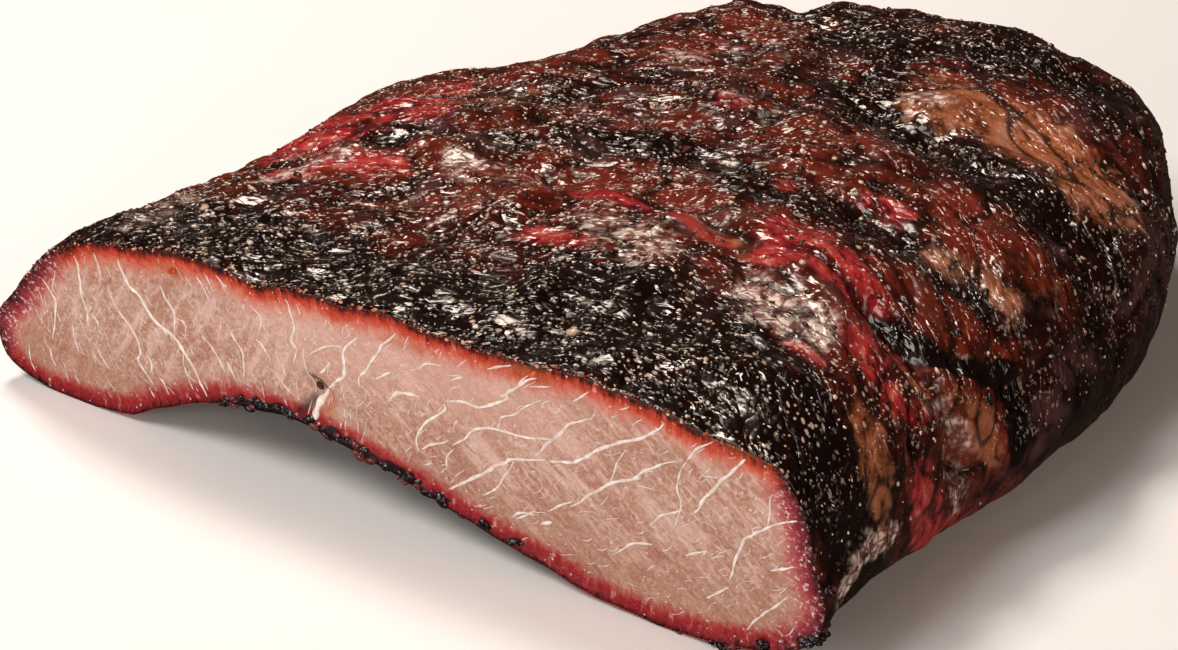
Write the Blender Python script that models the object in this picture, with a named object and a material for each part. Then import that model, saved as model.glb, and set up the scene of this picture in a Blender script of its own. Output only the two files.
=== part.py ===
"""Smoked beef brisket: the half that is left after a cut, lying on its underside.

Blender 4.5, metres, +Z up. Run with: blender --background --python part.py

The cut face looks along -Y. +X runs along the cut to its right end, and +Y runs back to the
rounded end. The origin is the centre of the underside of the box that holds the meat.
"""

import math

import bmesh
import bpy
import numpy as np
from mathutils import Euler, Matrix, Vector, geometry

MM = 0.001

# Driving sizes
CUT_WIDTH = 215 * MM  # along the cut face, between the widest points of its two ends
LENGTH = 223 * MM  # from the cut face to the rounded end
THICKNESS = 51 * MM  # of the middle of the cut's top edge above the table

# Plan outline and height at ten stations, from the cut face (first) to the rounded end (last).
# A station's place along Y is LENGTH times the sine of its turn, which is 0, 10, 20 ... 90 degrees.
LEFT_EDGE = (-0.511, -0.463, -0.445, -0.410, -0.305, -0.234, -0.159, -0.064, 0.043, 0.218)
RIGHT_EDGE = (0.488, 0.517, 0.556, 0.578, 0.559, 0.523, 0.469, 0.366, 0.274, 0.218)
TOP_HEIGHT = (1.02, 1.03, 1.05, 1.06, 1.06, 1.06, 1.03, 0.98, 0.93, 0.88)

# Section: a rounded box, widest at the waist, whose upper side leans in
WAIST_LEFT = 14 * MM  # height of the widest points of the section
WAIST_RIGHT = 23 * MM
LEAN_LEFT = 0.22  # share of the half width that the top corner stands in from the waist
LEAN_RIGHT = 0.12
LEAN_POWER = 1.25  # 1 would lean it straight from the waist up
SQUARE_TOP = (6.0, 4.0)  # superellipse powers at the cut and behind: a higher one gives a tighter corner
SQUARE_BELOW_LEFT = (5.0, 3.4)
SQUARE_BELOW_RIGHT = (3.4, 3.4)
CORNER_REACH = 45 * MM  # behind the cut, over which the top corners soften
CORNER_REACH_BELOW = 90 * MM
END_BLUNTNESS = 8.9  # superellipse power of the rounded end
END_CAP = 0.12  # share of the height that is left at the flat spot where the rounded end closes
TOP_SLOPE = 0.045  # the top falls towards the left end of the cut

# The underside arches up in the middle of the cut and comes down again behind it
PRESS = 2.2 * MM  # how far the soft underside would sag below the table, which flattens it
ARCH_HEIGHT = 20.5 * MM
ARCH_CENTRE = -23 * MM
ARCH_REACH = (64 * MM, 92 * MM)  # left and right of its centre
ARCH_POWER = 1.7  # of the cosine that shapes it
ARCH_DEPTH = 120 * MM  # along Y

# Lumps all over the crust: distance between them, and height
LUMPS = ((52 * MM, 1.3 * MM), (24 * MM, 0.85 * MM), (13 * MM, 0.45 * MM))
LUMP_WAVES = 14
UNDER_SHARE = 0.6  # of the lumps' height, on the underside

# Swells of the muscle under the crust: place on the plan, radius and height
SWELLS = (
    ((-66 * MM, 34 * MM), 15 * MM, 1.6 * MM),
    ((31 * MM, 52 * MM), 22 * MM, 2.2 * MM),
    ((92 * MM, 16 * MM), 20 * MM, 2.0 * MM),
    ((-30 * MM, 66 * MM), 20 * MM, 2.0 * MM),
    ((96 * MM, 92 * MM), 20 * MM, 2.4 * MM),
    ((20 * MM, 128 * MM), 24 * MM, 1.8 * MM),
    ((70 * MM, 165 * MM), 20 * MM, 1.0 * MM),
)

# Furrows in the top: route on the plan, half width and depth
FURROWS = (
    (((-62 * MM, 60 * MM), (-32 * MM, 74 * MM), (-10 * MM, 94 * MM), (34 * MM, 113 * MM)), 5.0 * MM, 2.4 * MM),
    (((25 * MM, 91 * MM), (51 * MM, 91 * MM), (78 * MM, 84 * MM), (108 * MM, 74 * MM)), 4.5 * MM, 2.2 * MM),
    (((40 * MM, 137 * MM), (70 * MM, 128 * MM), (99 * MM, 117 * MM), (126 * MM, 104 * MM)), 6.0 * MM, 2.4 * MM),
    (((0 * MM, 66 * MM), (20 * MM, 72 * MM), (38 * MM, 69 * MM), (60 * MM, 52 * MM)), 4.0 * MM, 2.0 * MM),
    (((84 * MM, 57 * MM), (93 * MM, 52 * MM), (106 * MM, 49 * MM), (122 * MM, 46 * MM)), 3.6 * MM, 4.6 * MM),
)
ROUTE_STEPS = 60

# The gap between the two muscles, where the cut crosses it above the arch
SEAM_GAP = (-17 * MM, 27 * MM)  # X and Z on the cut face
SEAM_GAP_RADIUS = 3.5 * MM
SEAM_GAP_DEPTH = 2.4 * MM
BUNDLE_RELIEF = 0.5 * MM  # how far muscle bundles stand in and out on the cut face
BUNDLE_SIZE = 26 * MM

# Crumbs of bark and pepper stuck to the crust
CRUMB_COUNT = 78
CRUMB_RADIUS = (1.3 * MM, 2.2 * MM)
CRUMB_SPACING = 13 * MM
CRUMB_FLATTENING = 0.7
CRUMB_SUNK = 0.35  # share of the radius below the crust
CRUMB_SEED = 11

# Mesh
TOP_COLUMNS = 58
UNDER_COLUMNS = 26
ROWS = 46
CUT_POINT_SPACING = 6.5 * MM
WELD = 0.00001

BARK_COLOUR = (0.045, 0.017, 0.010, 1.0)
CUT_COLOUR = (0.50, 0.24, 0.17, 1.0)


def smooth_through(values, share):
    """The value at each share (0 to 1) along evenly spaced values, on a Catmull-Rom curve."""
    values = np.asarray(values, float)
    spans = len(values) - 1
    place = np.clip(share, 0, 1) * spans
    first = np.minimum(place.astype(int), spans - 1)
    t = place - first
    ends = [2 * values[0] - values[1]], [2 * values[-1] - values[-2]]
    padded = np.concatenate([ends[0], values, ends[1]])
    a, b, c, d = (padded[first + k] for k in range(4))
    return b + 0.5 * t * (c - a + t * (2 * a - 5 * b + 4 * c - d + t * (3 * (b - c) + d - a)))


def smooth_step(low, high, value):
    """0 below low, 1 above high, and a smooth rise between them."""
    t = np.clip((value - low) / (high - low), 0, 1)
    return t * t * (3 - 2 * t)


def blend(ends, share):
    """The first of two ends at share 0, and the second at share 1."""
    return ends[0] + (ends[1] - ends[0]) * share


def under_height(x, y):
    """Height of the underside before the table flattens it, with the arch that the cut shows."""
    reach = np.where(x < ARCH_CENTRE, *ARCH_REACH)
    across = np.clip((x - ARCH_CENTRE) / reach, -1, 1)
    along = 1 - smooth_step(0, ARCH_DEPTH, y)
    return ARCH_HEIGHT * np.cos(across * math.pi / 2).clip(0) ** ARCH_POWER * along - PRESS


def body_surface(angle, share):
    """Points of the smooth body. angle runs round a section, from its right end over the top,
    and share runs from the cut face (0) to the rounded end (1)."""
    turn = share * math.pi / 2
    y = LENGTH * np.sin(turn)
    end = np.cos(turn).clip(0) ** (2 / END_BLUNTNESS)
    left = CUT_WIDTH * smooth_through(LEFT_EDGE, share)
    right = CUT_WIDTH * smooth_through(RIGHT_EDGE, share)
    half = (right - left) / 2
    c, s = np.cos(angle), np.sin(angle)
    above = blend(SQUARE_TOP, smooth_step(0, CORNER_REACH, y))
    below = np.where(
        c < 0,
        blend(SQUARE_BELOW_LEFT, smooth_step(0, CORNER_REACH_BELOW, y)),
        blend(SQUARE_BELOW_RIGHT, smooth_step(0, CORNER_REACH_BELOW, y)),
    )
    power = np.where(s > 0, above, below)
    reach = (np.abs(c) ** power + np.abs(s) ** power) ** (-1 / power)
    across, lift = c * reach, np.abs(s) * reach
    lean = np.where(c < 0, LEAN_LEFT, LEAN_RIGHT) * np.where(s > 0, lift, 0) ** LEAN_POWER
    x = (left + right) / 2 + half * across * (1 - lean)
    waist = blend((WAIST_LEFT, WAIST_RIGHT), (across + 1) / 2)
    top = THICKNESS * smooth_through(TOP_HEIGHT, share) + TOP_SLOPE * x * (1 - y / LENGTH)
    z = np.where(s > 0, waist + (top - waist) * lift, waist - (waist - under_height(x, y)) * lift)
    return np.stack([x, y, waist + (z - waist) * end], -1)


def waves(points, spacing, height, seed):
    """Lumps: sine waves in random directions, added up and scaled to the height."""
    rng = np.random.default_rng(seed)
    total = np.zeros(points.shape[:-1])
    for _ in range(LUMP_WAVES):
        direction = rng.normal(size=3)
        direction *= 2 * math.pi / (np.linalg.norm(direction) * spacing * rng.uniform(0.75, 1.4))
        total += np.sin(points @ direction + rng.uniform(0, 2 * math.pi))
    return height * total / math.sqrt(LUMP_WAVES)


def nearness(plan, route, width):
    """1 on a route drawn on the plan, falling to 0 about two widths from it."""
    steps = np.linspace(0, 1, ROUTE_STEPS)
    line = np.stack([smooth_through([p[k] for p in route], steps) for k in range(2)], -1)
    gaps = np.linalg.norm(plan[..., None, :] - line, axis=-1).min(-1)
    return np.exp(-((gaps / width) ** 2))


def crust_relief(points, upward):
    """How far the crust stands out from the smooth body. upward is 1 on the top and 0 below it."""
    relief = sum(waves(points, spacing, height, seed) for seed, (spacing, height) in enumerate(LUMPS))
    relief = relief * blend((UNDER_SHARE, 1.0), upward)
    plan = points[..., :2]
    for place, radius, height in SWELLS:
        gap = np.linalg.norm(plan - np.array(place), axis=-1)
        relief += upward * height * np.exp(-((gap / radius) ** 2))
    for route, width, depth in FURROWS:
        relief -= upward * depth * nearness(plan, route, width)
    return relief


def even_shares(points, count, weight=1.0):
    """Shares of a finely sampled line's parameter that cut it into count even lengths."""
    lengths = np.linalg.norm(np.diff(points, axis=0), axis=1) * weight
    run = np.concatenate([[0], np.cumsum(lengths)])
    return np.interp(np.linspace(0, run[-1], count + 1), run, np.linspace(0, 1, len(run)))


def section_angles():
    """Angles round a section: even steps over the top, and wider even steps underneath."""
    fine = np.linspace(0, math.pi, 2001)
    middle = np.full_like(fine, 0.25)
    over = even_shares(body_surface(fine, middle), TOP_COLUMNS) * math.pi
    under = even_shares(body_surface(fine + math.pi, middle), UNDER_COLUMNS) * math.pi + math.pi
    return np.concatenate([over, under[1:]])


def station_shares():
    """Shares along the body that give rows of even depth down the middle of the top."""
    last = math.acos(END_CAP ** (END_BLUNTNESS / 2)) / (math.pi / 2)
    fine = last * (1 - np.linspace(1, 0, 4001) ** 3)
    return np.interp(even_shares(body_surface(np.full_like(fine, math.pi / 2), fine), ROWS), np.linspace(0, 1, len(fine)), fine)


def crust_mesh():
    """The crust as a grid wrapped round the body: open at the cut, closed by a flat spot at the end."""
    angles, shares = section_angles(), station_shares()
    bm = bmesh.new()
    bmesh.ops.create_grid(bm, x_segments=len(angles) - 1, y_segments=len(shares) - 1, size=1)
    flat = np.array([v.co for v in bm.verts])
    column = np.rint((flat[:, 0] + 1) / 2 * (len(angles) - 1)).astype(int)
    row = np.rint((flat[:, 1] + 1) / 2 * (len(shares) - 1)).astype(int)
    smooth = body_surface(angles[column], shares[row])
    for vert, point in zip(bm.verts, smooth):
        vert.co = point
    bmesh.ops.remove_doubles(bm, verts=bm.verts, dist=WELD)
    rear = [e for e in bm.edges if e.is_boundary and e.verts[0].co.y > LENGTH / 2]
    cap = bmesh.ops.holes_fill(bm, edges=rear, sides=0)["faces"]
    bmesh.ops.triangulate(bm, faces=cap, ngon_method="BEAUTY")
    bmesh.ops.recalc_face_normals(bm, faces=bm.faces)
    bm.normal_update()
    add_relief(bm)
    return bm


def add_relief(bm):
    """Moves each point of the crust along its normal, and keeps the cut flat and the table clear."""
    points = np.array([v.co for v in bm.verts])
    normals = np.array([v.normal for v in bm.verts])
    at_cut = points[:, 1] < WELD
    normals[at_cut, 1] = 0
    upward = smooth_step(-0.2, 0.5, normals[:, 2])
    moved = points + normals * crust_relief(points, upward)[:, None]
    moved[:, 2] = moved[:, 2].clip(0)
    for vert, point in zip(bm.verts, moved):
        vert.co = point


def cut_relief(plane_points):
    """How far each point of the cut face stands in from its plane: bundles, and the seam's gap."""
    spread = np.stack([plane_points[:, 0], np.zeros(len(plane_points)), plane_points[:, 1]], -1)
    bundles = np.abs(waves(spread, BUNDLE_SIZE, BUNDLE_RELIEF, len(LUMPS)))
    gap = np.linalg.norm(plane_points - np.array(SEAM_GAP), axis=-1)
    return bundles + SEAM_GAP_DEPTH * np.exp(-((gap / SEAM_GAP_RADIUS) ** 2))


def close_cut(bm):
    """Fills the open cut with triangles between its rim and a staggered grid of points."""
    rim = ordered_rim(bm)
    outline = [Vector((v.co.x, v.co.z)) for v in rim]
    low = [min(p[k] for p in outline) for k in range(2)]
    high = [max(p[k] for p in outline) for k in range(2)]
    row_gap = CUT_POINT_SPACING * math.sqrt(3) / 2
    inner = []
    for j in range(1, int((high[1] - low[1]) / row_gap) + 1):
        start = low[0] + CUT_POINT_SPACING * (j % 2) / 2
        for i in range(int((high[0] - low[0]) / CUT_POINT_SPACING) + 1):
            point = Vector((start + i * CUT_POINT_SPACING, low[1] + j * row_gap))
            nearest = min((point - p).length for p in outline)
            if nearest > CUT_POINT_SPACING * 0.6 and inside(point, outline):
                inner.append(point)
    loop = [(i, (i + 1) % len(rim)) for i in range(len(rim))]
    filled = geometry.delaunay_2d_cdt(outline + inner, loop, [], 1, WELD)
    depths = cut_relief(np.array(filled[0]))
    verts = list(rim)
    for point, depth in list(zip(filled[0], depths))[len(rim):]:
        verts.append(bm.verts.new((point.x, depth, point.y)))
    for corners in filled[2]:
        bm.faces.new([verts[k] for k in corners]).material_index = 1


def ordered_rim(bm):
    """The points round the open cut, in order."""
    edges = [e for e in bm.edges if e.is_boundary]
    rim, last = [edges[0].verts[0]], edges[0]
    while True:
        step = last.other_vert(rim[-1])
        if step == rim[0]:
            return rim
        rim.append(step)
        last = next(e for e in step.link_edges if e.is_boundary and e != last)


def inside(point, outline):
    """Whether a point is inside a closed outline, by counting the sides that a ray crosses."""
    crossed = False
    for a, b in zip(outline, outline[1:] + outline[:1]):
        if (a.y > point.y) != (b.y > point.y):
            crossed ^= point.x < a.x + (b.x - a.x) * (point.y - a.y) / (b.y - a.y)
    return crossed


def mesh_object(name, bm, collection):
    mesh = bpy.data.meshes.new(name)
    bm.to_mesh(mesh)
    bm.free()
    made = bpy.data.objects.new(name, mesh)
    collection.objects.link(made)
    return made


def crumb_seats(body):
    """Places for the crumbs: crust points that face up or sideways, kept apart from each other."""
    rng = np.random.default_rng(CRUMB_SEED)
    crust = [p for p in body.data.polygons if p.material_index == 0 and p.normal.z > -0.1 and p.center.z > WAIST_RIGHT]
    seats = []
    for k in rng.permutation(len(crust)):
        face = crust[k]
        clear = all((face.center - place).length > CRUMB_SPACING for place, _ in seats)
        if clear and face.center.y > CRUMB_SPACING / 2:
            seats.append((face.center.copy(), face.normal.copy()))
        if len(seats) == CRUMB_COUNT:
            break
    return seats


def make_crumbs(body, collection):
    """One small squashed ball for each crumb, partly sunk in the crust."""
    rng = np.random.default_rng(CRUMB_SEED + 1)
    for place, normal in crumb_seats(body):
        radius = rng.uniform(*CRUMB_RADIUS)
        bm = bmesh.new()
        bmesh.ops.create_icosphere(bm, subdivisions=1, radius=radius)
        stretch = (rng.uniform(0.9, 1.5), 1.0, CRUMB_FLATTENING)
        bmesh.ops.scale(bm, verts=bm.verts, vec=stretch)
        spin = Euler((0, 0, rng.uniform(0, 2 * math.pi))).to_matrix()
        bmesh.ops.rotate(bm, verts=bm.verts, matrix=normal.to_track_quat("Z", "Y").to_matrix() @ spin)
        seat = place - normal * radius * CRUMB_SUNK * CRUMB_FLATTENING
        bmesh.ops.translate(bm, verts=bm.verts, vec=seat)
        mesh_object("crumb", bm, collection)


def fuse(body, collection):
    """Joins every object of the collection to the body, and removes them."""
    union = body.modifiers.new("crumbs", "BOOLEAN")
    union.operation = "UNION"
    union.operand_type = "COLLECTION"
    union.collection = collection
    union.solver = "MANIFOLD"
    graph = bpy.context.evaluated_depsgraph_get()
    joined = bpy.data.meshes.new_from_object(body.evaluated_get(graph))
    body.modifiers.clear()
    body.data = joined
    for crumb in list(collection.objects):
        bpy.data.objects.remove(crumb)
    bpy.data.collections.remove(collection)


def centre_on_box(body):
    """Moves the mesh so that the origin is the centre of the underside of its box."""
    corners = np.array([v.co for v in body.data.vertices])
    low, high = corners.min(0), corners.max(0)
    body.data.transform(Matrix.Translation((-(low[0] + high[0]) / 2, -(low[1] + high[1]) / 2, -low[2])))


def surface(name, colour, roughness):
    """A material with a Principled BSDF of one colour and roughness."""
    material = bpy.data.materials.new(name)
    material.use_nodes = True
    shader = material.node_tree.nodes["Principled BSDF"]
    shader.inputs["Base Color"].default_value = colour
    shader.inputs["Roughness"].default_value = roughness
    material.diffuse_color = colour
    return material


def main():
    for old in list(bpy.data.objects):
        bpy.data.objects.remove(old)
    parts = bpy.data.collections.new("smoked_brisket")
    crumbs = bpy.data.collections.new("crumbs")
    for collection in (parts, crumbs):
        bpy.context.scene.collection.children.link(collection)

    bm = crust_mesh()
    close_cut(bm)
    bmesh.ops.recalc_face_normals(bm, faces=bm.faces)
    body = mesh_object("brisket", bm, parts)
    body.data.materials.append(surface("bark", BARK_COLOUR, 0.42))
    body.data.materials.append(surface("cut_meat", CUT_COLOUR, 0.5))
    make_crumbs(body, crumbs)
    fuse(body, crumbs)
    centre_on_box(body)
    body.data.shade_smooth()
    body.data.set_sharp_from_angle(angle=math.radians(45))


main()
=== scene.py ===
"""Smoked beef brisket, cut across: the dressed model on a plain pale floor.

Laid out as a Blender add-on and run as a script. Lengths are metres, +Z is up. The shapes are
worked out with X along the cut from its middle, Y back from the cut and Z up from the table, and
are then moved so that the CAD box's underside is centred on the origin.
"""

import math

import bmesh
import bpy
import numpy as np
from bpy.props import FloatProperty, FloatVectorProperty, IntProperty, PointerProperty
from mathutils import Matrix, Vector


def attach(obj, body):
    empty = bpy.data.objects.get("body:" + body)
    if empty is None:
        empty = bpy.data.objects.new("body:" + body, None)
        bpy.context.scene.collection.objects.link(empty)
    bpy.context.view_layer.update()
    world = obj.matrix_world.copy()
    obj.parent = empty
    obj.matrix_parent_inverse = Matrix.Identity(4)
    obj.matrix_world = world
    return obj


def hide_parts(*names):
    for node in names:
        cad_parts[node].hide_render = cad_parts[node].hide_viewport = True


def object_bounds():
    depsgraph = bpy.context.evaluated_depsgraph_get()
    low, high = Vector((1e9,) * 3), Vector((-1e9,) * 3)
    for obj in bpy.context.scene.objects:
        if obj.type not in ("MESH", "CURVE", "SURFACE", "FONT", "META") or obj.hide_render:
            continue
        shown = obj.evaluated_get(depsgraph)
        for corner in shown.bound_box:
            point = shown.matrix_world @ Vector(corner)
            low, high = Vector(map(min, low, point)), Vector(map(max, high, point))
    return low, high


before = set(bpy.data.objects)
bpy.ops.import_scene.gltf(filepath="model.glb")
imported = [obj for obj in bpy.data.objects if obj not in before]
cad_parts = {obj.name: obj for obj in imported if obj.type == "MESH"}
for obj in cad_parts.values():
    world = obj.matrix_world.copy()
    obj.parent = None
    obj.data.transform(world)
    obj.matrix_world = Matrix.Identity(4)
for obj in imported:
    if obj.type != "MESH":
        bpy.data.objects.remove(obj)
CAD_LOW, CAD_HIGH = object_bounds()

bl_info = {
    "name": "Smoked Brisket",
    "version": (1, 0, 0),
    "blender": (4, 5, 0),
    "location": "3D View > Sidebar > Brisket",
    "description": "Builds a smoked beef brisket with its bark, cut face, marbling and pepper",
    "category": "Add Mesh",
}

MM = 0.001
NODE = "brisket"

# Driving sizes, which are those of the CAD solid
CUT_WIDTH = 215 * MM
LENGTH = 223 * MM
THICKNESS = 51 * MM
CUT_MIDDLE = 7.2 * MM  # how far the middle of the CAD box lies to the right of the middle of the cut

# Plan outline and height at ten stations, from the cut face to the rounded end. A station's place
# along Y is LENGTH times the sine of its turn, which is 0, 10, 20 ... 90 degrees.
LEFT_EDGE = (-0.511, -0.463, -0.445, -0.410, -0.305, -0.234, -0.159, -0.064, 0.043, 0.218)
RIGHT_EDGE = (0.488, 0.517, 0.556, 0.578, 0.559, 0.523, 0.469, 0.366, 0.274, 0.218)
TOP_HEIGHT = (1.02, 1.03, 1.05, 1.06, 1.06, 1.06, 1.03, 0.98, 0.93, 0.88)

# Section: a rounded box, widest at the waist, whose upper side leans in
WAIST_LEFT = 14 * MM
WAIST_RIGHT = 23 * MM
LEAN_LEFT = 0.22
LEAN_RIGHT = 0.12
LEAN_POWER = 1.25
SQUARE_TOP = (6.0, 4.0)  # superellipse powers at the cut and behind
SQUARE_BELOW_LEFT = (5.0, 3.4)
SQUARE_BELOW_RIGHT = (3.4, 3.4)
CORNER_REACH = 45 * MM
CORNER_REACH_BELOW = 90 * MM
END_BLUNTNESS = 8.9
END_CAP = 0.03  # share of the height that is left where the rounded end closes
TOP_SLOPE = 0.045

# The underside arches up in the middle of the cut and comes down again behind it
PRESS = 2.2 * MM
ARCH_HEIGHT = 20.5 * MM
ARCH_CENTRE = -23 * MM
ARCH_REACH = (64 * MM, 92 * MM)
ARCH_POWER = 1.7
ARCH_DEPTH = 120 * MM

# Lumps all over the crust: distance between them, and height
LUMPS = ((52 * MM, 1.3 * MM), (24 * MM, 0.85 * MM), (13 * MM, 0.45 * MM))
LUMP_WAVES = 14
UNDER_SHARE = 0.6

# Swells of the muscle under the crust: place on the plan in millimetres, radius and height
SWELLS = (
    ((-66, 34), 15 * MM, 1.6 * MM),
    ((31, 52), 22 * MM, 2.2 * MM),
    ((92, 16), 20 * MM, 2.0 * MM),
    ((-30, 66), 20 * MM, 2.0 * MM),
    ((96, 92), 20 * MM, 2.4 * MM),
    ((20, 128), 24 * MM, 1.8 * MM),
    ((70, 165), 20 * MM, 1.0 * MM),
)

# Smaller swells by the outline: place in space in millimetres, radius and height
EDGE_SWELLS = (
    ((-105, 2, 20.5), 5.2 * MM, 2.2 * MM),
    ((-99, 1, 41), 3.0 * MM, 1.5 * MM),
    ((13, 183, 50), 9.0 * MM, 1.6 * MM),
    ((56, 194, 48), 14.0 * MM, 1.5 * MM),
)

# Furrows in the top: route on the plan in millimetres, half width and depth
FURROWS = (
    (((-62, 60), (-32, 74), (-10, 94), (34, 113)), 5.0 * MM, 2.4 * MM),
    (((25, 91), (51, 91), (78, 84), (108, 74)), 4.5 * MM, 2.2 * MM),
    (((40, 137), (70, 128), (99, 117), (126, 104)), 6.0 * MM, 2.4 * MM),
    (((0, 66), (20, 72), (38, 69), (60, 52)), 4.0 * MM, 2.0 * MM),
    (((84, 57), (93, 52), (106, 49), (122, 46)), 3.6 * MM, 4.6 * MM),
)
ROUTE_STEPS = 30

# The gap between the two muscles, where the cut crosses it above the arch
SEAM_GAP = (-17 * MM, 27 * MM)
SEAM_GAP_RADIUS = 3.5 * MM
SEAM_GAP_DEPTH = 2.4 * MM
BUNDLE_RELIEF = 0.5 * MM
BUNDLE_SIZE = 26 * MM

# Fine relief of the bark: distance between crags, and height
CRAGS = ((11.0 * MM, 1.1 * MM), (5.0 * MM, 0.45 * MM), (2.6 * MM, 0.18 * MM))
CRAG_STRETCH = (0.5, 1.0, 1.0)  # crags run along the streaks on the top
WALL_STRETCH = (1.0, 1.0, 0.35)  # and up and down on the sides
CRAG_SEEDS = (40, 50)  # of the top and of the sides
FOLD_SCALE = 1.6
FOLD_LEVEL = 0.5
CRAGS_ON_WALLS = 0.5  # share of their height that crags have on the sides,
CRAGS_ON_FILM = 0.35  # where a skin of film or amber fat smooths them,
CRAGS_AT_CUT = 0.3  # and at the cut, over a reach behind it
CUT_REACH = 10 * MM
AMBER_CALM = 0.8

# Up and down on the crust, as the Z of its normal: the side's end of the range, and the top's
FACING_RANGE = (-0.2, 0.5)
EDGE_REACH = 6 * MM  # behind the cut, where relief starts to push the crust along Y too

# Streaks of the bark, which crags, salt and stains follow: they run a little to the back over most
# of the top, and turn to the front beside the right wall. Slopes of Y against X, and where they turn.
STREAK_SLOPES = (0.25, -0.6)
STREAK_BEND = (35 * MM, 95 * MM)

# Grids
BARK_OVER = 288
BARK_UNDER = 72
BARK_ROWS = 258
CUT_COLUMNS = 440
CUT_ROWS = 104
RIM_INSET = 0.12 * MM  # of the meat inside the bark's rim

# Colours laid on the bark with soft brush strokes: route in millimetres, half width and strength. A
# route of two coordinates is drawn on the plan, and one of three in space.
RED_STROKES = (
    (((-70, 60), (-66, 74), (-52, 90)), 7, 1.2),
    (((-60, 66), (-54, 76), (-44, 84)), 8, 1.2),
    (((-58, 45), (-48, 53), (-34, 56)), 5, 0.9),
    (((-60, 44), (-54, 46)), 3.5, 1.0),
    (((-50, 92), (-48, 104)), 7, 0.6),
    (((10, 62), (20, 63), (36, 62), (50, 58)), 3.2, 0.8),
    (((12, 42), (22, 43)), 5, 0.7),
    (((60, 62), (68, 63), (80, 60)), 7.5, 1.1),
    (((56, 70), (66, 71)), 5, 0.8),
    (((82, 58), (90, 52), (96, 46)), 6, 0.6),
    (((88, 44), (96, 39), (101, 38)), 5, 0.7),
    (((80, 34), (86, 33)), 3.2, 1.0),
    (((68, 94), (75, 92)), 3.6, 1.0),
    (((42, 89), (49, 88)), 4, 0.5),
    (((17, 117), (21, 117)), 3.4, 0.8),
    (((-14, 130), (-8, 146), (-2, 158)), 9, 0.3),
    (((-108, 0, 20), (-105, 0, 33), (-97, 0, 43)), 3, 0.75),
    (((-104, 0, 12), (-96, 0, 6), (-84, 0, 3), (-62, 0, 3), (-50, 0, 9)), 5, 1.1),
    (((36, 0, 8), (56, 0, 4), (90, 0, 2)), 4.5, 1.0),
    (((109, 34, 28), (110, 38, 16), (112, 48, 8)), 7, 0.85),
    (((113, 90, 14), (119, 125, 14)), 8, 0.4),
)
AMBER_STROKES = (
    (((52, 60), (57, 58)), 3, 1.0),
    (((38, 62), (50, 59)), 4, 0.7),
    (((-44, 98), (-30, 104)), 8, 0.5),
    (((57, 150), (74, 148), (92, 142), (104, 134)), 12, 1.0),
    (((88, 82), (96, 84), (104, 80)), 6, 0.55),
    (((102, 96), (110, 92)), 8, 0.4),
    (((97, 48), (102, 45)), 3.5, 0.9),
    (((76, 34), (82, 35)), 3.5, 0.8),
    (((100, 26), (106, 20)), 5, 0.75),
    (((110, 52, 38), (112, 56, 31), (113, 58, 26)), 5, 1.0),
    (((-58, 68), (-46, 92)), 12, 0.35),
    (((-8, 60), (-2, 84), (10, 92)), 12, 0.25),
)
FILM_AND_SHEEN_STROKES = (
    (((24, 50), (34, 50), (40, 46)), 8, 0.7),
    (((62, 48), (69, 46)), 4.5, 0.95),
    (((71, 43), (78, 40)), 6.4, 1.5),
    # This stroke paints a pinkish-white sheen in the colour of the film
    (((-60, 40), (-50, 56)), 5, 0.6),
    (((-22, 60), (-4, 62)), 7, 0.45),
    (((52, 148), (58, 146)), 5, 0.7),
    (((-8, 140), (12, 156)), 12, 0.38),
    (((106, 6, 20), (107, 12, 26), (108, 22, 24)), 4.5, 0.65),
    (((105, 46, 40), (108, 50, 36), (109, 52, 31)), 4, 0.6),
    (((110, 46, 27), (111, 46, 19)), 4.5, 0.65),
    (((10, 112), (34, 122)), 9, 0.3),
    (((-74, 12), (-70, 26)), 8, 0.5),
)
CHAR_AND_SHADE_STROKES = (
    (((-72, 8), (-47, 14), (-17, 12), (18, 11), (57, 14), (92, 10)), 13, 1.0),
    (((-50, 66), (-32, 72), (-19, 73), (7, 89), (25, 92)), 6, 0.85),
    (((7, 89), (25, 92), (43, 87), (70, 82), (89, 80), (104, 79)), 8, 0.95),
    (((-28, 108), (0, 118), (26, 122)), 17, 0.5),
    (((40, 137), (70, 128), (99, 117), (126, 104)), 12, 0.95),
    (((38, 164), (45, 145), (54, 134)), 7, 0.9),
    (((112, 122), (120, 104), (126, 92)), 12, 0.85),
    (((122, 70), (124, 100), (116, 140)), 14, 0.75),
    # This stroke is partly char and partly painted shade, darkening the right and back walls low down where
    # little light falls
    (((130, 70, 22), (132, 94, 20), (124, 130, 20), (104, 172, 20), (60, 208, 20)), 20, 0.76),
    (((26, 172), (52, 176), (74, 180), (92, 172)), 12, 0.75),
    # This stroke is partly char and partly painted shade, for light that falls off towards the back
    (((10, 180), (39, 196), (66, 190), (90, 180)), 14, 0.6),
    (((96, 128), (126, 96), (122, 66)), 13, 0.62),
    (((28, 30), (52, 30), (70, 24)), 12, 0.8),
    (((100, 5, 46), (104, 7, 34), (106, 12, 18), (106, 18, 6)), 8, 0.9),
)
# Cracks, carved into the crust and made black inside with painted shade
CRACKS = (
    (((85, 56), (93, 55), (101, 56), (107, 61), (111, 68)), 2.3, 1.1),
    (((111, 69, 38), (114, 67, 32), (116, 64, 22)), 3.5, 0.9),
)
CRACK_DEPTH = 1.3 * MM
BARK_STROKES = {
    "red": RED_STROKES,
    "amber": AMBER_STROKES,
    "film": FILM_AND_SHEEN_STROKES,
    "char": CHAR_AND_SHADE_STROKES,
    "crack_shade": CRACKS,
}

# Rim of the bark, folded in behind the cut: how far in and how far back its end and its lip lie
BARK_EDGE = ((1.4 * MM, 2.6 * MM), (0.3 * MM, 0.4 * MM))

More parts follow.
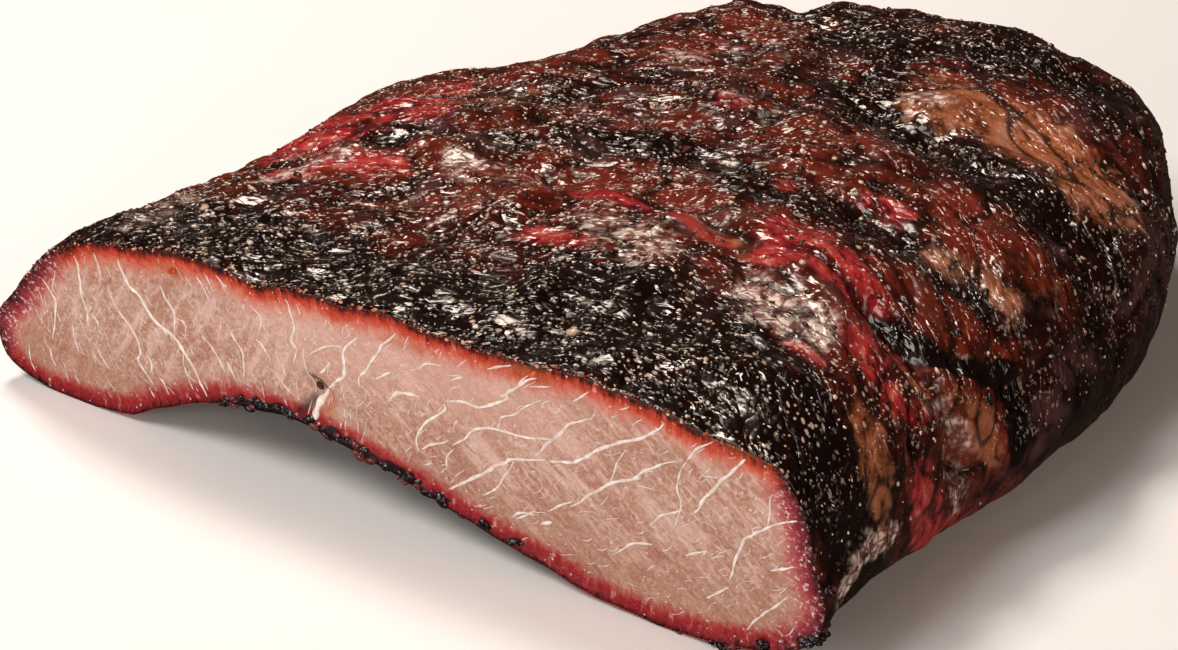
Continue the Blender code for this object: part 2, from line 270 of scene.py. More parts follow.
# Warmth: where behind the cut the bark turns from black to brown, and where it loses some of it again as
# painted shade, for light that falls off towards the back
WARM_RISE = (22 * MM, 62 * MM)
BACK_SHADE_RANGE = (110 * MM, 175 * MM)
WARMTH_LEFT_IN_BACK_SHADE = 0.6

# Beside its rim the cut is flat and a little tucked in
RIM_CALM = 3 * MM
RIM_TUCK = 0.25 * MM
RIM_ROUND = 0.5 * MM
CUT_FOLD = ((0.96, 1, 0.8), (0, 4 * MM, 6 * MM))  # scale and shift of its edge, folded into the meat

# Fat veins on the cut: full width, then places along the vein (X and Z), all in millimetres
VEINS = (
    (0.5, (-95, 30), (-92, 27), (-91, 24), (-92, 19), (-93, 14)),
    (0.35, (-90, 33), (-91, 30), (-92, 27)),
    (0.6, (-83, 40), (-82, 37), (-82, 34), (-82, 30), (-81, 25)),
    (0.45, (-77, 43), (-76, 40), (-75, 36)),
    (0.6, (-74, 36), (-71, 29), (-68, 26), (-66, 20), (-67, 18), (-65, 15), (-63, 12)),
    (
        0.95, (-70, 43), (-69, 41), (-67, 37), (-64, 35), (-61, 30), (-56, 28), (-52, 24), (-49, 18),
        (-47, 14),
    ),
    (0.6, (-58, 40), (-57, 37), (-55, 34), (-55, 29)),
    (0.3, (-56, 33), (-52, 32), (-52, 28)),
    (0.45, (-79, 28), (-81, 25), (-81, 22)),
    (0.45, (-80, 26), (-78, 24), (-78, 21)),
    (0.4, (-86, 21), (-86, 18), (-85, 14)),
    (0.45, (-79, 17), (-78, 15), (-76, 12)),
    (0.5, (-64, 20), (-63, 18), (-63, 15)),
    (0.4, (-94, 12), (-94, 9), (-93, 7)),
    (0.4, (-65, 11), (-63, 7)),
    (0.3, (-53, 25), (-53, 20), (-51, 15)),
    (0.45, (-61, 15), (-60, 14), (-59, 11)),
    (0.35, (-101, 11), (-101, 6), (-100, 3)),
    (0.5, (-47, 31), (-45, 29), (-43, 26), (-42, 23)),
    (0.45, (-40, 36), (-38, 34), (-36, 30), (-36, 27), (-37, 22)),
    (0.55, (-32, 35), (-30, 34), (-28, 31)),
    (0.5, (-23, 48), (-22, 46), (-21, 42), (-22, 38), (-21, 36), (-22, 32)),
    (0.5, (-41, 26), (-39, 22)),
    (0.35, (-47, 46), (-46, 44), (-44, 40)),
    (0.35, (-42, 48), (-39, 45)),
    (0.3, (-33, 43), (-30, 41), (-31, 36)),
    (0.4, (-27, 28), (-23, 24)),
    (0.4, (-19, 37), (-19, 32), (-18, 25)),
    (0.5, (-16, 31), (-14, 33), (-12, 36)),
    (0.35, (-18, 35), (-15, 38), (-12, 40), (-8, 41)),
    (0.85, (-14, 28), (-10, 32), (-8, 35), (-8, 40), (-4, 45)),
    (0.6, (6, 49), (3, 46), (1, 43), (-2, 38), (-4, 35), (-5, 32)),
    (0.5, (0, 36), (4, 39)),
    (0.9, (3, 31), (5, 34), (8, 35), (11, 35)),
    (0.7, (17, 36), (22, 38), (26, 38), (32, 42), (33, 44), (37, 48), (40, 50)),
    (0.6, (17, 36), (17, 34), (12, 29), (10, 25), (10, 21)),
    (0.6, (11, 22), (13, 24), (17, 26)),
    (0.6, (18, 25), (22, 29), (26, 33), (32, 34), (39, 35), (44, 37)),
    (0.85, (17, 14), (22, 18), (30, 25), (34, 28), (42, 31)),
    (0.45, (26, 16), (30, 20), (34, 28)),
    (0.5, (39, 31), (43, 36), (46, 40)),
    (0.4, (30, 34), (31, 37), (34, 39), (37, 42), (41, 45)),
    (0.5, (11, 42), (13, 44), (17, 45)),
    (0.5, (19, 42), (22, 44)),
    (0.5, (28, 48), (34, 51)),
    (0.35, (38, 47), (43, 49)),
    (0.35, (19, 25), (17, 22), (17, 19)),
    (0.6, (33, 13), (35, 15), (39, 16)),
    (0.75, (42, 31), (46, 32), (50, 34), (54, 38), (60, 42), (66, 46), (69, 50)),
    (0.7, (47, 21), (52, 26), (57, 31), (62, 34), (66, 38), (72, 42)),
    (0.75, (76, 31), (78, 35), (81, 40), (84, 44), (87, 49)),
    (0.5, (74, 43), (76, 46), (80, 50)),
    (0.4, (74, 43), (72, 37), (73, 31), (71, 25)),
    (0.5, (66, 24), (69, 28), (74, 31)),
    (0.55, (59, 15), (62, 18), (67, 20)),
    (0.6, (84, 17), (85, 22), (87, 29), (89, 31), (92, 34), (100, 39)),
    (0.35, (92, 34), (92, 41)),
    (0.5, (79, 11), (84, 16)),
    (0.5, (88, 7), (92, 13), (97, 19)),
    (0.55, (40, 32), (44, 37), (48, 42), (53, 45)),
    (0.5, (42, 18), (45, 21), (48, 23)),
    (0.8, (40, 14), (43, 16)),
    (0.5, (74, 20), (79, 23)),
    (0.5, (93, 24), (98, 27)),
    (0.4, (31, 42), (34, 45), (38, 50)),
    (0.4, (48, 47), (52, 51)),
    (0.3, (57, 31), (58, 35), (60, 40)),
    (0.5, (34, 13), (39, 17)),
    (1.7, (-17.4, 19), (-16.8, 21.7), (-15.6, 24.7), (-13.4, 28.2)),
)
VEIN_STEPS = 28
VEIN_SIDES = 8
VEIN_WOBBLE = 0.14 * MM
VEIN_LONG = 12 * MM  # shorter veins wobble less
VEIN_WAVES = (1.1, 0.8, 1.7)  # turns per millimetre, in radians, along X, along Z and in thickness
VEIN_TAPER = 0.4
VEIN_SWELL = 0.3
VEIN_LEAST = 0.01 * MM
VEIN_LIFT = 0.1  # of half its thickness, so that it stands out from the cut
VEIN_FLATNESS = 0.4
VEIN_SEED = 3

# Fine veins: how many, and ranges of place, distance from the edges, length and width in millimetres
FINE_VEINS = 330
FINE_STEPS = 9
FINE_SIDES = 5
FINE_SPAN = (-98, 98)
FINE_MARGINS = (2.5, 2.0)
FINE_LENGTH = (1.2, 4.5)
FINE_WIDTH = (0.12, 0.26)
FINE_BEND = 0.25
FINE_TURN = 14  # degrees from the grain
FINE_ROUTE_SEED = 5
FINE_SEED = 4

# Painted shade in the cracks of the cut where the two muscles part, and amber fat beside them and by the
# rim
POCKET_SHADE_STROKES = (
    (((-18, 0, 29.6), (-16.2, 0, 28.8), (-14.2, 0, 27.6)), 0.7, 1.0),
    (((-20.4, 0, 21), (-18.8, 0, 22.4), (-17.8, 0, 24)), 1.5, 0.9),
)
LOBE_STROKES = (
    (((-13.6, 0, 23.4), (-12.6, 0, 25.6), (-12.6, 0, 27)), 1.5, 0.9),
    (((-15.5, 0, 31), (-14, 0, 32.6)), 0.8, 0.7),
    (((-57, 0, 45.6), (-52, 0, 44.8)), 1.4, 0.8),
    (((34, 0, 50), (42, 0, 50.6)), 1.6, 0.8),
    (((80, 0, 51), (92, 0, 50.6)), 2.0, 0.8),
    (((2, 0, 46.6), (12, 0, 47)), 1.2, 0.6),
)

# Which way the muscle fibres lie on the cut: X in millimetres, and the angle from X in degrees
GRAIN_PLACES = (-100, -75, -50, -30, -20, 0, 25, 60, 80, 100)
GRAIN_ANGLES = (100, 118, 122, 100, 90, 60, 40, 38, 52, 42)

# Beads of amber fat on the rim of the cut: X and Z in millimetres, and radius
FAT_BEADS = (((-53.5, 45.2), 0.9 * MM), ((39.5, 51.0), 1.0 * MM), ((-77, 42.6), 0.6 * MM))
BEAD_OUT = 0.1 * MM
BEAD_SEED = 9
BURNT_WANDER = (3.5 * MM, 71)  # size and seed of the noise that frays the burnt edge

# Grains of pepper and salt on the bark
GRAIN_CLUMP = 11 * MM
CLUMP_SEED = 31
GRAIN_FLATTENING = 0.62
ROUND_FLATTENING = 0.8  # of crumbs and beads
GRAIN_STRETCH = (0.9, 1.9)
GRAIN_CORNERS = (0.68, 1.25)
GRAIN_LEAN = 0.25
GRAIN_TURN = 0.4
GRAIN_DIP = 1.5  # how steeply grains point down where the streaks turn to the front
PALE_CHUNK = ((40, 13), 1.3 * MM)  # the largest grain: its place on the plan in millimetres, and radius
PALE_SEED = 21
DARK_SEED = 22
PALE_SPREAD = (0.45, 0.4, 3.0)  # how widely radii vary, and the least and most of the usual one
DARK_SPREAD = (0.3, 0.5, 2.0)

# Crumbs along the underside and the upper rim of the cut: ranges of X in millimetres, and how many
CHAR_CRUMBS = ((-44, 14, 170), (14, 34, 34), (60, 92, 16), (92, 101, 26), (101, 106, 30))
RIM_CRUMBS = ((-100, 96, 420),)
CHAR_SIZES = (0.5 * MM, 1.7 * MM)
RIM_SIZES = (0.18 * MM, 0.5 * MM)
CRUMB_IN = (-0.4, 1.8)  # range in from the edge of the cut, in radii of the largest crumb
CRUMB_BACK = (-0.1, 1.6)  # and back from the cut
CRUMB_SEED = 14

# Camera, floor and light
LENS_ANGLE = 28.0  # degrees across the picture
CAMERA_PLACE = (253.3 * MM, -324.1 * MM, 304.7 * MM)
CAMERA_AZIMUTH = 31.84
CAMERA_ELEVATION = 32.0
FLOOR_RADIUS = 4.0
FLOOR_DROP = 0.2 * MM  # so that it doesn't touch the underside
WORLD_STRENGTH = 0.06

# Square lamps that face the origin: name, place, width, power in watts and colour on screen
LIGHTS = (
    ("key", (-0.4, -0.65, 1.15), 0.6, 9.0, (255, 250, 244)),
    ("front_fill", (-0.25, -1.3, 0.35), 0.8, 6.0, (255, 248, 242)),
    ("top_left", (-0.45, 0.25, 1.0), 0.3, 8.0, (255, 242, 230)),
    ("right_fill", (1.1, -0.5, 0.5), 0.5, 3.5, (255, 232, 214)),
)


def srgb(red, green, blue):
    """A colour given as 0 to 255 on screen, as the linear values that a shader takes."""
    screen = np.array([red, green, blue]) / 255
    linear = np.where(screen <= 0.04045, screen / 12.92, ((screen + 0.055) / 1.055) ** 2.4)
    return tuple(float(v) for v in linear)


def smooth_through(values, share):
    """The value at each share (0 to 1) along evenly spaced values, on a Catmull-Rom curve."""
    values = np.asarray(values, float)
    spans = len(values) - 1
    place = np.clip(share, 0, 1) * spans
    first = np.minimum(place.astype(int), spans - 1)
    t = place - first
    ends = [2 * values[0] - values[1]], [2 * values[-1] - values[-2]]
    padded = np.concatenate([ends[0], values, ends[1]])
    a, b, c, d = (padded[first + k] for k in range(4))
    return b + 0.5 * t * (c - a + t * (2 * a - 5 * b + 4 * c - d + t * (3 * (b - c) + d - a)))


def smooth_step(low, high, value):
    """0 below low, 1 above high, and a smooth rise between them."""
    t = np.clip((value - low) / (high - low), 0, 1)
    return t * t * (3 - 2 * t)


def blend(ends, share):
    """The first of two ends at share 0, and the second at share 1."""
    return ends[0] + (ends[1] - ends[0]) * share


def under_height(x, y):
    """Height of the underside before the table flattens it: a cosine arch that fades behind the cut."""
    reach = np.where(x < ARCH_CENTRE, *ARCH_REACH)
    across = np.clip((x - ARCH_CENTRE) / reach, -1, 1)
    along = 1 - smooth_step(0, ARCH_DEPTH, y)
    return ARCH_HEIGHT * np.cos(across * math.pi / 2).clip(0) ** ARCH_POWER * along - PRESS


def body_surface(angle, share):
    """Points of the smooth body: a superellipse round each section, by angle, whose half width,
    height and powers change with the share of the way from the cut (0) to the rounded end (1)."""
    turn = share * math.pi / 2
    y = LENGTH * np.sin(turn)
    end = np.cos(turn).clip(0) ** (2 / END_BLUNTNESS)
    left = CUT_WIDTH * smooth_through(LEFT_EDGE, share)
    right = CUT_WIDTH * smooth_through(RIGHT_EDGE, share)
    half = (right - left) / 2
    c, s = np.cos(angle), np.sin(angle)
    above = blend(SQUARE_TOP, smooth_step(0, CORNER_REACH, y))
    below = np.where(
        c < 0,
        blend(SQUARE_BELOW_LEFT, smooth_step(0, CORNER_REACH_BELOW, y)),
        blend(SQUARE_BELOW_RIGHT, smooth_step(0, CORNER_REACH_BELOW, y)),
    )
    power = np.where(s > 0, above, below)
    reach = (np.abs(c) ** power + np.abs(s) ** power) ** (-1 / power)
    across, lift = c * reach, np.abs(s) * reach
    lean = np.where(c < 0, LEAN_LEFT, LEAN_RIGHT) * np.where(s > 0, lift, 0) ** LEAN_POWER
    x = (left + right) / 2 + half * across * (1 - lean)
    waist = blend((WAIST_LEFT, WAIST_RIGHT), (across + 1) / 2)
    top = THICKNESS * smooth_through(TOP_HEIGHT, share) + TOP_SLOPE * x * (1 - y / LENGTH)
    z = np.where(s > 0, waist + (top - waist) * lift, waist - (waist - under_height(x, y)) * lift)
    return np.stack([x, y, waist + (z - waist) * end], -1)


def waves(points, spacing, height, seed):
    """Lumps: sine waves in random directions, added up and scaled to the height."""
    rng = np.random.default_rng(seed)
    total = np.zeros(points.shape[:-1])
    for _ in range(LUMP_WAVES):
        direction = rng.normal(size=3)
        direction *= 2 * math.pi / (np.linalg.norm(direction) * spacing * rng.uniform(0.75, 1.4))
        total += np.sin(points @ direction + rng.uniform(0, 2 * math.pi))
    return height * total / math.sqrt(LUMP_WAVES)


def noise(points, spacing, seed):
    """Gradient noise, about -1 to 1: each corner of a cubic lattice has a random slope, and the
    slopes of a cell's eight corners are blended with a fifth-power fade."""
    rng = np.random.default_rng(seed)
    order = rng.permutation(256)
    slopes = rng.normal(size=(256, 3))
    slopes /= np.linalg.norm(slopes, axis=1)[:, None]
    place = points / spacing
    cell = np.floor(place).astype(int)
    inside = place - cell
    fade = inside**3 * (inside * (inside * 6 - 15) + 10)
    total = np.zeros(points.shape[:-1])
    for corner in np.ndindex(2, 2, 2):
        a, b, c = np.moveaxis((cell + corner) & 255, -1, 0)
        slope = slopes[order[(order[(order[a] + b) & 255] + c) & 255]]
        weight = np.prod(np.where(corner, fade, 1 - fade), axis=-1)
        total += weight * ((inside - corner) * slope).sum(-1)
    return 1.6 * total


def nearness(points, route, width):
    """1 on a route in millimetres, falling to 0 about two widths from it. A route of two
    coordinates is drawn on the plan, and one of three in space."""
    steps = np.linspace(0, 1, ROUTE_STEPS)
    kinds = len(route[0])
    line = np.stack([smooth_through([p[k] for p in route], steps) for k in range(kinds)], -1) * MM
    near = np.full(points.shape[:-1], np.inf)
    for step in line:
        near = np.minimum(near, ((points[..., :kinds] - step) ** 2).sum(-1))
    return np.exp(-near / width**2)


def painted(points, strokes):
    """How strongly brush strokes cover each point: the strongest stroke there, 0 to 1."""
    cover = np.zeros(points.shape[:-1])
    for route, width, strength in strokes:
        cover = np.maximum(cover, strength * nearness(points, route, width * MM))
    return cover


def even_shares(points, count):
    """Shares of a finely sampled line's parameter that cut it into count even lengths."""
    lengths = np.linalg.norm(np.diff(points, axis=0), axis=1)
    run = np.concatenate([[0], np.cumsum(lengths)])
    return np.interp(np.linspace(0, run[-1], count + 1), run, np.linspace(0, 1, len(run)))


def section_angles(over, under, share=0.25):
    """Angles round a section: even steps over the top, and even steps underneath."""
    fine = np.linspace(0, math.pi, 2001)
    middle = np.full_like(fine, share)
    above = even_shares(body_surface(fine, middle), over) * math.pi
    below = even_shares(body_surface(fine + math.pi, middle), under) * math.pi + math.pi
    return np.concatenate([above, below[1:]])


def station_shares():
    """Shares along the body that give rows of even depth down the middle of the top."""
    last = math.acos(END_CAP ** (END_BLUNTNESS / 2)) / (math.pi / 2)
    fine = last * (1 - np.linspace(1, 0, 4001) ** 3)
    steps = even_shares(body_surface(np.full_like(fine, math.pi / 2), fine), BARK_ROWS)
    return np.interp(steps, np.linspace(0, 1, len(fine)), fine)


def round_normals(points):
    """Outward unit normals of a grid that is closed round its first axis."""
    round_it = np.roll(points, -1, 0) - np.roll(points, 1, 0)
    along = np.gradient(points, axis=1)
    normals = np.cross(along, round_it)
    return normals / np.linalg.norm(normals, axis=-1, keepdims=True).clip(1e-12)


def streak_slope(x):
    """Slope of the bark's streaks on the plan, which changes evenly from one value to the other."""
    low, high = STREAK_BEND
    return blend(STREAK_SLOPES, np.clip((x - low) / (high - low), 0, 1))


def straightened(points):
    """Points moved along Y so that the bark's streaks run straight along X: each loses the height of
    the streak's path, which is the running sum of its slope."""
    x = points[..., 0]
    low, high = STREAK_BEND
    turn = np.clip((x - low) / (high - low), 0, 1)
    change = (high - low) * turn**2 / 2 + (x - high).clip(0)
    path = STREAK_SLOPES[0] * x + (STREAK_SLOPES[1] - STREAK_SLOPES[0]) * change
    return np.stack([x, points[..., 1] - path, points[..., 2]], -1)


def coarse_relief(points, upward):
    """How far the crust stands out from the smooth body: lumps, swells and furrows."""
    relief = sum(waves(points, spacing, height, seed) for seed, (spacing, height) in enumerate(LUMPS))
    relief = relief * blend((UNDER_SHARE, 1.0), upward)
    for place, radius, height in SWELLS:
        gap = np.linalg.norm(points[..., :2] - np.array(place) * MM, axis=-1)
        relief += upward * height * np.exp(-((gap / radius) ** 2))
    for route, width, depth in FURROWS:
        relief -= upward * depth * nearness(points, route, width)
    for place, radius, height in EDGE_SWELLS:
        gap = np.linalg.norm(points - np.array(place) * MM, axis=-1)
        relief += height * np.exp(-((gap / radius) ** 2))
    return relief


def crag_relief(points, upward, calm):
    """Crags: folded noise, whose creases are sharp and whose lumps are round, at three sizes. They
    run along the streaks on the top and up and down on the sides, and are low where the crust is calm."""
    relief = np.zeros(points.shape[:-1])
    for seed, (spacing, height) in enumerate(CRAGS):
        flat = np.abs(noise(straightened(points) * CRAG_STRETCH, spacing, CRAG_SEEDS[0] + seed))
        steep = np.abs(noise(points * WALL_STRETCH, spacing, CRAG_SEEDS[1] + seed))
        folded = blend((steep, flat), upward) * FOLD_SCALE - FOLD_LEVEL
        relief += height * folded * blend((CRAGS_ON_WALLS, 1.0), upward)
    near_cut = smooth_step(CUT_REACH, 0, points[..., 1])
    relief = relief * blend((1.0, CRAGS_ON_FILM), calm) * blend((1.0, CRAGS_AT_CUT), near_cut)
    return relief - CRACK_DEPTH * upward * painted(points, CRACKS)


def crust(angles, shares):
    """Points and outward normals of the finished crust on a grid of angles and shares, and the points
    of the smooth body that they come from."""
    angle, share = np.meshgrid(angles[:-1], shares, indexing="ij")
    smooth = body_surface(angle, share)
    normals = round_normals(smooth)
    upward = smooth_step(*FACING_RANGE, normals[..., 2])
    push = normals.copy()
    push[..., 1] *= smooth_step(0, EDGE_REACH, smooth[..., 1])
    calm = np.maximum(painted(smooth, FILM_AND_SHEEN_STROKES), AMBER_CALM * painted(smooth, AMBER_STROKES))
    relief = coarse_relief(smooth, upward) + crag_relief(smooth, upward, calm)
    points = smooth + push * relief[..., None]
    points[..., 2] = points[..., 2].clip(0)
    return points, round_normals(points), smooth


def rim_curve():
    """The bark's edge round the cut, in CUT_COLUMNS even steps over the top and as many below."""
    angles = section_angles(CUT_COLUMNS, CUT_COLUMNS, 0.0)[:-1]
    fine = section_angles(BARK_OVER, BARK_UNDER)
    edge = crust(fine, np.array([0.0, 0.004]))[0][:, 0]
    edge = np.concatenate([edge, edge[:1]])
    return np.stack([np.interp(angles, fine, edge[:, k]) for k in range(3)], -1)


def inset_loop(loop, distance):
    """A closed loop in the XZ plane, moved inwards by a distance."""
    run = np.roll(loop, -1, 0) - np.roll(loop, 1, 0)
    side = np.stack([-run[:, 2], np.zeros(len(run)), run[:, 0]], -1)
    side /= np.linalg.norm(side, axis=1, keepdims=True).clip(1e-12)
    return loop + side * distance


def cut_height(x, z):
    """How far the cut face stands in from its plane: bundles of muscle, and the seam's gap."""
    spread = np.stack([x, np.zeros_like(x), z], -1)
    bundles = np.abs(waves(spread, BUNDLE_SIZE, BUNDLE_RELIEF, len(LUMPS)))
    gap = np.hypot(x - SEAM_GAP[0], z - SEAM_GAP[1])
    return bundles + SEAM_GAP_DEPTH * np.exp(-((gap / SEAM_GAP_RADIUS) ** 2))


def vertex_numbers(points):
    """The number of each vertex of a grid of points, in the order that a mesh takes them."""
    return np.arange(points[..., 0].size).reshape(points.shape[:-1])


def grid_faces(ids):
    """Quads of a grid of vertex numbers, and triangles where two corners of a quad are one."""
    quads = np.stack([ids[:-1, :-1], ids[1:, :-1], ids[1:, 1:], ids[:-1, 1:]], -1).reshape(-1, 4)
    same = quads == np.roll(quads, -1, 1)
    pinched = quads[same.sum(1) == 1]
    keep = ~same[same.sum(1) == 1]
    return quads[~same.any(1)], pinched[keep].reshape(-1, 3)


def new_piece(name, points, face_sets, material, slot):
    """A mesh object from arrays of points and faces, moved into the CAD frame, with its faces
    turned outwards. It rides on the one body and stands for the CAD solid."""
    faces = [f for f in face_sets if len(f)]
    corners = np.concatenate([f.ravel() for f in faces])
    sizes = np.concatenate([np.full(len(f), f.shape[1]) for f in faces])
    shift = (-CUT_MIDDLE, CAD_LOW.y, 0)
    mesh = bpy.data.meshes.new(name)
    mesh.vertices.add(len(points))
    mesh.vertices.foreach_set("co", (points + shift).astype(np.float32).ravel())
    mesh.loops.add(len(corners))
    mesh.loops.foreach_set("vertex_index", corners.astype(np.int32))
    mesh.polygons.add(len(sizes))
    starts = np.concatenate([[0], np.cumsum(sizes)[:-1]])
    mesh.polygons.foreach_set("loop_start", starts.astype(np.int32))
    mesh.update(calc_edges=True)
    turned = bmesh.new()
    turned.from_mesh(mesh)
    bmesh.ops.recalc_face_normals(turned, faces=turned.faces)
    turned.to_mesh(mesh)
    turned.free()
    mesh.shade_smooth()
    mesh.materials.append(material)
    piece = bpy.data.objects.new(name, mesh)
    bpy.context.scene.collection.objects.link(piece)
    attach(piece, "root")
    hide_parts(NODE)
    return piece


def paint(piece, name, values):
    """Stores a number for each vertex, which the piece's material reads by its name."""
    layer = piece.data.attributes.new(name, "FLOAT", "POINT")
    layer.data.foreach_set("value", np.asarray(values, np.float32).ravel())


def round_off(piece, levels):
    """Smooths the facets of a piece into round shapes."""
    rounding = piece.modifiers.new("rounding", "SUBSURF")
    rounding.levels = rounding.render_levels = levels


class Finish:
    """Builds one node-based material: its methods add a node and return the socket it gives."""

    def __init__(self, name):
        self.material = bpy.data.materials.new(name)
        self.material.use_nodes = True
        self.tree = self.material.node_tree
        self.shader = self.tree.nodes["Principled BSDF"]
        self.place = self.add("ShaderNodeTexCoord").outputs["Object"]

    def add(self, kind, inputs=None, **settings):
        """A new node of a kind, with its settings made and its inputs filled."""
        made = self.tree.nodes.new(kind)
        for name, value in settings.items():
            setattr(made, name, value)
        self.fill(made, inputs or {})
        return made

    def fill(self, made, inputs):
        """Links each input that is given a socket, and sets each that is given a value."""
        for key, value in inputs.items():
            if isinstance(value, bpy.types.NodeSocket):
                self.tree.links.new(value, made.inputs[key])
            else:
                made.inputs[key].default_value = value

    def noise(self, size, detail=3.0, rough=0.55, twist=0.0, place=None):
        """Noise whose features are about size metres across."""
        inputs = {"Vector": place or self.place, "Scale": 1 / size, "Detail": detail}
        inputs.update({"Roughness": rough, "Distortion": twist})
        return self.add("ShaderNodeTexNoise", inputs).outputs["Fac"]

    def cells(self, size, feature="F1", place=None):
        """Distance in a pattern of cells that are about size metres across."""
        inputs = {"Vector": place or self.place, "Scale": 1 / size}
        return self.add("ShaderNodeTexVoronoi", inputs, feature=feature).outputs["Distance"]

    def dots(self, size, radius, share, place=None):
        """Round spots, one in each cell of about size metres, in a share of the cells."""
        inputs = {"Vector": place or self.place, "Scale": 1 / size}
        cell = self.add("ShaderNodeTexVoronoi", inputs)
        spot = self.spread(cell.outputs["Distance"], radius * 1.25, radius * 0.75)
        pick = self.add("ShaderNodeSeparateColor", {"Color": cell.outputs["Color"]}).outputs["Red"]
        return self.times(spot, self.maths("LESS_THAN", pick, share))

    def turned(self, angles, stretch=(1, 1, 1)):
        """The place, turned by three angles in degrees and then stretched."""
        inputs = {"Vector": self.place, "Rotation": tuple(math.radians(a) for a in angles)}
        spun = self.add("ShaderNodeMapping", inputs).outputs[0]
        return self.add("ShaderNodeMapping", {"Vector": spun, "Scale": stretch}).outputs[0]

    def painted(self, name):
        """The number that the piece stores for each vertex under a name."""
        return self.add("ShaderNodeAttribute", attribute_name=name).outputs["Fac"]

    def maths(self, what, a, b):
        """One sum on two values."""
        return self.add("ShaderNodeMath", {0: a, 1: b}, operation=what).outputs[0]

    def times(self, a, b):
        return self.maths("MULTIPLY", a, b)

    def plus(self, a, b):
        return self.maths("ADD", a, b)

    def spread(self, value, low, high, to_low=0.0, to_high=1.0):
        """value carried smoothly from the range low to high into another range."""
        inputs = {0: value, 1: low, 2: high, 3: to_low, 4: to_high}
        return self.add("ShaderNodeMapRange", inputs, interpolation_type="SMOOTHSTEP").outputs[0]

    def mix(self, share, a, b):
        """The colour or value a at share 0, and b at share 1."""
        a, b = (c if isinstance(c, bpy.types.NodeSocket) else tuple(c) + (1.0,) for c in (a, b))
        return self.add("ShaderNodeMix", {0: share, 6: a, 7: b}, data_type="RGBA").outputs[2]

    def ramp(self, value, stops):
        """Colours at places from 0 to 1."""
        made = self.add("ShaderNodeValToRGB", {0: value})
        elements = made.color_ramp.elements
        while len(elements) < len(stops):
            elements.new(0.5)
        for element, (place, colour) in zip(elements, stops):
            element.position = place
            element.color = tuple(colour) + (1.0,)
        return made.outputs["Color"]

    def bump(self, height, depth, strength, under=None):
        """A surface tilted by a height, which stands up by a depth, over the bumps under it."""
        inputs = {"Height": height, "Distance": depth, "Strength": strength}
        if under is not None:
            inputs["Normal"] = under
        return self.add("ShaderNodeBump", inputs).outputs["Normal"]

    def done(self, **inputs):
        """The finished material. Inputs of the shader are named with _ for each space."""
        self.fill(self.shader, {name.replace("_", " "): value for name, value in inputs.items()})
        return self.material


def colour_property(name, description, *screen):
    """A setting for a colour, whose default is given as 0 to 255 on screen."""
    return FloatVectorProperty(name=name, description=description, subtype="COLOR", default=srgb(*screen))


class BrisketSizes(bpy.types.PropertyGroup):
    """Sizes and counts that a user might change."""

    pale_count: IntProperty(
        name="Pale Grains", description="Pale grains of pepper and salt", default=4700, min=0
    )
    dark_count: IntProperty(name="Dark Grains", description="Dark grains of pepper", default=1400, min=0)
    pale_radius: FloatProperty(
        name="Pale Grain Radius", description="Of a usual pale grain", default=0.24 * MM, unit="LENGTH"
    )
    dark_radius: FloatProperty(
        name="Dark Grain Radius", description="Of a usual dark grain", default=0.5 * MM, unit="LENGTH"
    )


class BrisketColours(bpy.types.PropertyGroup):
    """Colours that a user might change."""

    char: colour_property("Char", "Blackest bark", 18, 4, 2)
    mahogany: colour_property("Mahogany", "Brown bark", 68, 20, 11)
    red: colour_property("Red", "Bare red meat", 164, 38, 43)
    amber: colour_property("Amber", "Rendered fat", 166, 96, 62)
    film: colour_property("Film", "Pale skin of fat", 236, 218, 206)
    meat: colour_property("Meat", "Middle of the cut", 193, 151, 133)
    fat: colour_property("Fat", "Veins of fat", 252, 243, 238)
    # The pale grains are salt and cracked pepper, and their bright tints also paint the glints of the wet
    # bark
    pale_grain_and_glint: colour_property("Pale Grain", "Salt and cracked pepper", 250, 240, 230)
    floor: colour_property("Floor", "Plain floor", 247, 247, 247)


